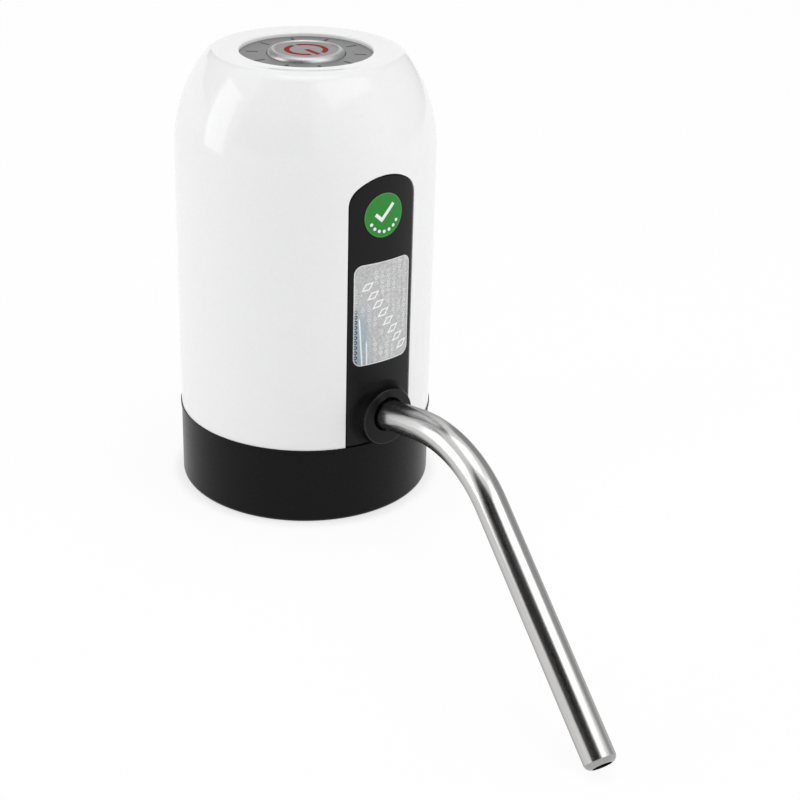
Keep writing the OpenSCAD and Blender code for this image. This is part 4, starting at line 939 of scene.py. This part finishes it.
# Finish of each material slot: colour, roughness, scale and spread of the noise, then the rest
SLOTS = {
    "shell_white": ((0.85, 0.85, 0.858), 0.07, 900, 0.01,
                    dict(rough_spread=0.03, bump=0.01, specular=0.34)),
    "base_black": ((0.004, 0.004, 0.0044), 0.28, 2500, 0.2, dict(bump=0.08, specular=0.12)),
    "spout_steel": ((0.58, 0.575, 0.57), 0.21, 7, 0.08,
                    dict(metallic=1.0, bump=0.1, stretch=(1, 1, 3), source="along", tint=0.5)),
    "dial_grey": ((0.22, 0.22, 0.222), 0.42, 40, 0.08,
                  dict(metallic=0.9, bump=0.1, stretch=(4, 120, 4))),
    "button_silver": ((0.5, 0.51, 0.51), 0.42, 900, 0.03, dict(metallic=1.0, bump=0.02)),
    "icon_red": ((0.28, 0.005, 0.008), 0.5, 1500, 0.06, dict(specular=0.04)),
    "guide_grey": ((0.05, 0.05, 0.052), 0.45, 1200, 0.08, dict(specular=0.15)),
    "seal_rubber": ((0.03, 0.03, 0.032), 0.7, 1800, 0.2, dict(bump=0.2)),
    "valve_rubber": ((0.42, 0.06, 0.05), 0.6, 1800, 0.1, dict(bump=0.15)),
    "sticker_green": ((0.022, 0.235, 0.028), 0.4, 1200, 0.06, dict(specular=0.25)),
    "label_foil": ((0.52, 0.52, 0.525), 0.38, 1500, 0.2, dict(metallic=0.7, bump=0.1)),
    "screw_steel": ((0.55, 0.55, 0.56), 0.3, 2000, 0.08, dict(metallic=1.0, bump=0.1)),
    "board_green": ((0.012, 0.13, 0.04), 0.4, 1500, 0.15, dict(bump=0.1)),
    "chip_black": ((0.015, 0.015, 0.017), 0.5, 2500, 0.2, dict(bump=0.1)),
    "socket_ivory": ((0.75, 0.7, 0.56), 0.4, 1500, 0.03, {}),
    "led_clear": ((0.8, 0.78, 0.6), 0.2, 1500, 0.03, {}),
    "frame_plastic": ((0.68, 0.68, 0.65), 0.45, 1500, 0.03, dict(bump=0.1)),
    "cell_steel": ((0.5, 0.51, 0.53), 0.3, 900, 0.05, dict(metallic=1.0, stretch=(1, 1, 0.05))),
    "sleeve_green": ((0.03, 0.2, 0.08), 0.35, 1200, 0.06, {}),
    "nickel": ((0.62, 0.6, 0.56), 0.28, 1800, 0.06, dict(metallic=1.0)),
    "pump_plastic": ((0.75, 0.75, 0.72), 0.42, 1500, 0.03, dict(bump=0.1)),
    "drive_plastic": ((0.66, 0.55, 0.26), 0.4, 1500, 0.04, dict(bump=0.1)),
    "motor_steel": ((0.5, 0.5, 0.52), 0.32, 900, 0.06, dict(metallic=1.0, stretch=(1, 1, 0.05))),
    "magnet_grey": ((0.07, 0.07, 0.08), 0.6, 2500, 0.2, dict(bump=0.2)),
    "core_steel": ((0.3, 0.3, 0.31), 0.4, 600, 0.1, dict(metallic=1.0, stretch=(0.1, 0.1, 6))),
    "copper": ((0.68, 0.29, 0.12), 0.3, 700, 0.15,
               dict(metallic=1.0, bump=0.3, stretch=(0.2, 0.2, 4))),
    "bronze": ((0.5, 0.34, 0.14), 0.4, 2500, 0.15, dict(metallic=1.0, bump=0.1)),
    "carbon": ((0.04, 0.04, 0.042), 0.6, 3000, 0.2, dict(bump=0.15)),
    "hose_clear": ((0.62, 0.65, 0.67), 0.25, 900, 0.03, {}),
    "lead_jacket": ((0.42, 0.03, 0.03), 0.45, 2000, 0.05, {}),
}
FINISHES = {slot: surface(slot, *main, **rest) for slot, (*main, rest) in SLOTS.items()}
print_sticker(FINISHES["sticker_green"])
print_foil(FINISHES["label_foil"])

# Second finishes within a slot
PRINT_WHITE = surface("print_white", (0.82, 0.84, 0.82), 0.4, 1500, 0.02)
BUTTON_FACE = surface("button_face", (0.265, 0.27, 0.268), 0.4, 60, 0.1, metallic=0.9, bump=0.08,
                      stretch=(3, 60, 3))
STRIP_BLACK = surface("strip_black", (0.0065, 0.0065, 0.007), 0.36, 2500, 0.2, bump=0.08,
                      specular=0.17)
BOSS_RING = surface("boss_ring", (0.006, 0.006, 0.0065), 0.2, 2500, 0.2, specular=0.3)
# Painted shade round the boss: its flare is darker and less glossy the further it stands out: distance from the
# face and gloss
FLARE_SHADE_GLOSS = [(0.005, 0.14), (0.05, 0.11), (0.15, 0.085), (0.4, 0.065), (0.9, 0.05)]
FLARE_SHADE_FINISHES = [
    (out, surface("flare_%d" % i, (0.005, 0.005, 0.0054), 0.4, 2500, 0.2, specular=gloss))
    for i, (out, gloss) in enumerate(FLARE_SHADE_GLOSS)
]
# Painted shade on the spout's lip: a darker steel that stands in for the shadowed floor it reflects
SPOUT_LIP_SHADE = surface("spout_lip_shade", (0.37, 0.367, 0.364), 0.3, 7, 0.1, metallic=1.0, bump=0.1,
                    stretch=(1, 1, 3), source="along")
# Painted shade inside the spout's bore: near black steel, where it lies in shadow
BORE_SHADE = surface("bore_shade", (0.004, 0.004, 0.004), 0.7, 1500, 0.3, specular=0.1)


def dress(obj, slot, body, *nodes, finish=None):
    """Gives a piece its finish and says what it rides on and stands for."""
    obj.data.materials.clear()
    obj.data.materials.append(finish or FINISHES[slot])
    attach(obj, body)
    if nodes:
        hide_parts(*nodes)
    return obj


def refinish(obj, finish, test):
    """Gives the faces that pass a test a second finish."""
    obj.data.materials.append(finish)
    for face in obj.data.polygons:
        if test(face):
            face.material_index = len(obj.data.materials) - 1


for part in frame["record"]["subparts"]:
    cad = frame["nodes"][part["node"]]
    cad.data.materials.clear()
    cad.data.materials.append(FINISHES[part["material_slot"]])

dress(make_shell(), "shell_white", "housing", "outer_shell")
strip = dress(make_strip(), "base_black", "housing", "front_panel", finish=STRIP_BLACK)
# Painted shade on the boss's flare, darker in steps the further it stands out
for flare, finish in FLARE_SHADE_FINISHES:
    refinish(strip, finish, lambda face: on_boss_side(face.center / MM, flare))
refinish(strip, BOSS_RING, lambda face: on_boss_edge(face.center / MM))
spout = dress(make_spout(), "spout_steel", "spout", "spout_tube")
lip_from = len(spout_path()) * SPOUT_SIDES
bore_from = lip_from + (LIP_STEPS - 1) * SPOUT_SIDES
# Painted shade: darker steel on the spout's lip
refinish(spout, SPOUT_LIP_SHADE, lambda face: min(face.vertices) >= lip_from)
# Painted shade: near black inside the bore
refinish(spout, BORE_SHADE, lambda face: min(face.vertices) >= bore_from)
button = dress(make_button(), "button_silver", "button", "power_button")
refinish(button, BUTTON_FACE, lambda face: abs(face.center.z / MM - FACE_Z) < FACE_TOUCH)
dress(make_icon(), "icon_red", "button", "power_icon")
dress(make_sticker(), "sticker_green", "housing", "round_sticker")
dress(make_sticker_print(), "sticker_green", "housing", finish=PRINT_WHITE)
dress(make_label(), "label_foil", "housing", "foil_label")


# Stage, light and camera

# Floor: level under the base, with a ramp in front of it. FLOOR_WHITE is its share of plain white,
# which falls by CONTACT_DEPTH next to the base: partly a painted shadow, partly letting the base's own shadow show
# there.
FLOOR_DROP = 25.5
FLOOR_REACH = 1500.0
RAMP_FROM = -48.0
RAMP_TO = -125.0
RAMP_STEPS = 40
FLOOR_COLOUR = (0.96, 0.96, 0.96, 1)
FLOOR_WHITE = 0.92
CONTACT_DEPTH = 0.24
CONTACT_W = 4.0

WHITE = (1, 1, 1, 1)
BLACK = (0, 0, 0, 1)
AMBIENT = 0.685

# Lamps, in degrees and metres from LIGHT_AT and in watts; a fill doesn't show in reflections
LIGHT_AT = Vector((0, 0, 0.07))
LAMPS = [
    # name, azimuth, elevation, distance, width, height, power, fill
    ("left_box", -82, 17, 1.0, 0.42, 0.7, 2.15, False),
    ("key_box", 57, 52, 1.0, 0.78, 0.4, 1.55, False),
    ("top_box", 180, 86, 1.1, 0.6, 0.6, 1.7, False),
    ("left_fill", -70, 0, 1.0, 0.6, 0.6, 0.2, True),
    ("right_fill", 75, 10, 1.0, 0.6, 0.6, 1.3, True),
    ("front_fill", -5, 8, 1.0, 0.6, 0.6, 0.3, True),
]
CARD_R = 1400.0
CARD_STEPS = 24
CARDS = [
    # name, azimuth from and to, elevation from and to, level, lean of the left edge
    ("dark_card", -64, 10, 6, 63, 0.015, 12),
    ("grey_card", 90, 165, -2, 46, 0.42, 0.0),
    ("left_card", -165, -100, 14, 48, 0.3, 0.0),
]

# Camera: distance from the axis and height of the lens in millimetres, its focal length in pixels
# of the frame, and its turns
LENS_AT = 485.8
LENS_Z = 256.8
LENS_F = 1762.2
FRAME_PX = 800
SENSOR = 36.0
YAW = radians(3.409)
PITCH = radians(25.775)
ROLL = radians(1.593)
TURN = radians(-35.5)


def seen_directly(tree):
    """Output that is 1 for rays that the eye, a reflection or a glass sends."""
    path = node(tree, "ShaderNodeLightPath").outputs
    seen = calc(tree, "MAXIMUM", path["Is Camera Ray"], path["Is Glossy Ray"])
    return calc(tree, "MAXIMUM", seen, path["Is Transmission Ray"])


def mix_out(tree, share, first, second, output):
    """Leads a mix of two shaders to a tree's output."""
    mix = node(tree, "ShaderNodeMixShader")
    tree.links.new(share, mix.inputs[0])
    tree.links.new(first.outputs[0], mix.inputs[1])
    tree.links.new(second.outputs[0], mix.inputs[2])
    tree.links.new(mix.outputs[0], tree.nodes[output].inputs["Surface"])


def make_floor():
    """White sweep: level under the base, then down to the level of the spout's mouth."""
    line = [(FLOOR_REACH, 0.0)]
    for i in range(RAMP_STEPS + 1):
        t = i / RAMP_STEPS
        y = RAMP_FROM + (RAMP_TO - RAMP_FROM) * i / RAMP_STEPS
        line.append((y, -FLOOR_DROP * (t * t * (3 - 2 * t))))
    line.append((-FLOOR_REACH, -FLOOR_DROP))
    verts = [(x, y, z) for y, z in line for x in (-FLOOR_REACH, FLOOR_REACH)]
    faces = [(2 * i, 2 * i + 1, 2 * i + 3, 2 * i + 2) for i in range(len(line) - 1)]
    floor = shade(make_object("floor", verts, faces))
    made, tree, shader = new_material("floor_white")
    tree.nodes.remove(shader)
    matt = node(tree, "ShaderNodeBsdfDiffuse", Color=FLOOR_COLOUR)
    glow = node(tree, "ShaderNodeEmission", Color=WHITE, Strength=1.0)
    parts = split_xyz(tree, node(tree, "ShaderNodeTexCoord").outputs["Object"])
    reach = length(tree, parts["X"], parts["Y"])
    # Painted shadow round the base: less plain white there, which also lets the base's own shadow show
    near = fade(tree, reach, (BASE_R + CONTACT_W) * MM, BASE_R * MM)
    white = calc(tree, "SUBTRACT", FLOOR_WHITE, both(tree, near, CONTACT_DEPTH))
    mix_out(tree, both(tree, seen_directly(tree), white), matt, glow, "Material Output")
    floor.data.materials.append(made)


def make_world():
    """Soft light from all sides, seen directly as plain white."""
    world = bpy.data.worlds.new("studio")
    bpy.context.scene.world = world
    world.use_nodes = True
    tree = world.node_tree
    dim = tree.nodes["Background"]
    dim.inputs["Color"].default_value = WHITE
    dim.inputs["Strength"].default_value = AMBIENT
    white = node(tree, "ShaderNodeBackground", Color=WHITE, Strength=1.0)
    mix_out(tree, seen_directly(tree), dim, white, "World Output")


def camera_frame():
    """Camera's place and axes in the object's frame."""
    ahead = Vector((sin(YAW) * cos(PITCH), cos(YAW) * cos(PITCH), -sin(PITCH)))
    right = ahead.cross(Vector((0, 0, 1))).normalized()
    up = right.cross(ahead)
    right, up = right * cos(ROLL) + up * sin(ROLL), up * cos(ROLL) - right * sin(ROLL)
    turn = Matrix.Rotation(TURN, 3, "Z")
    place = turn @ Vector((0, -LENS_AT, LENS_Z)) * MM
    return place, turn @ right, turn @ up, turn @ ahead


def make_camera():
    """Camera at the photograph's viewing angle."""
    place, right, up, ahead = camera_frame()
    data = bpy.data.cameras.new("camera")
    data.sensor_width = SENSOR
    data.lens = LENS_F / FRAME_PX * SENSOR
    camera = new_object("camera", data)
    axes = Matrix((right, up, -ahead)).transposed().to_4x4()
    axes.translation = place
    camera.matrix_world = axes
    bpy.context.scene.camera = camera


def view_way(azimuth, elevation):
    """Direction from the body; azimuth counts from the camera's side, positive to its right."""
    _, right, _, ahead = camera_frame()
    front = Vector((-ahead.x, -ahead.y, 0)).normalized()
    side = Vector((right.x, right.y, 0)).normalized()
    a = radians(azimuth)
    e = radians(elevation)
    return (front * cos(a) + side * sin(a)) * cos(e) + Vector((0, 0, sin(e)))


def softbox(name, azimuth, elevation, distance, width, height, power, fill):
    """Area lamp that faces the body."""
    way = view_way(azimuth, elevation)
    data = bpy.data.lights.new(name, "AREA")
    data.shape = "RECTANGLE"
    data.size = width
    data.size_y = height
    data.energy = power
    lamp = new_object(name, data)
    lamp.location = LIGHT_AT + way * distance
    lamp.rotation_euler = way.to_track_quat("Z", "Y").to_euler()
    lamp.visible_camera = False
    lamp.visible_glossy = not fill


def card(name, az_from, az_to, el_from, el_to, level, lean):
    """Curved studio card round the body that only reflections see."""
    row = CARD_STEPS + 1
    verts = []
    for i in range(row):
        for k in range(row):
            start = az_from + lean * k / CARD_STEPS
            azimuth = start + (az_to - start) * i / CARD_STEPS
            way = view_way(azimuth, el_from + (el_to - el_from) * k / CARD_STEPS)
            verts.append(LIGHT_AT / MM + way * CARD_R)
    corners = [i * row + k for i in range(CARD_STEPS) for k in range(CARD_STEPS)]
    made = make_object(name, verts, [(c, c + 1, c + row + 1, c + row) for c in corners])
    finish, _, shader = new_material(name)
    shader.inputs["Base Color"].default_value = BLACK
    shader.inputs["Roughness"].default_value = 1.0
    shader.inputs["Specular IOR Level"].default_value = 0.0
    shader.inputs["Emission Color"].default_value = WHITE
    shader.inputs["Emission Strength"].default_value = level
    made.data.materials.append(finish)
    made.visible_camera = False
    made.visible_diffuse = False
    made.visible_shadow = False


make_floor()
make_world()
make_camera()
for values in LAMPS:
    softbox(*values)
for values in CARDS:
    card(*values)

bpy.context.scene.view_settings.view_transform = "Standard"
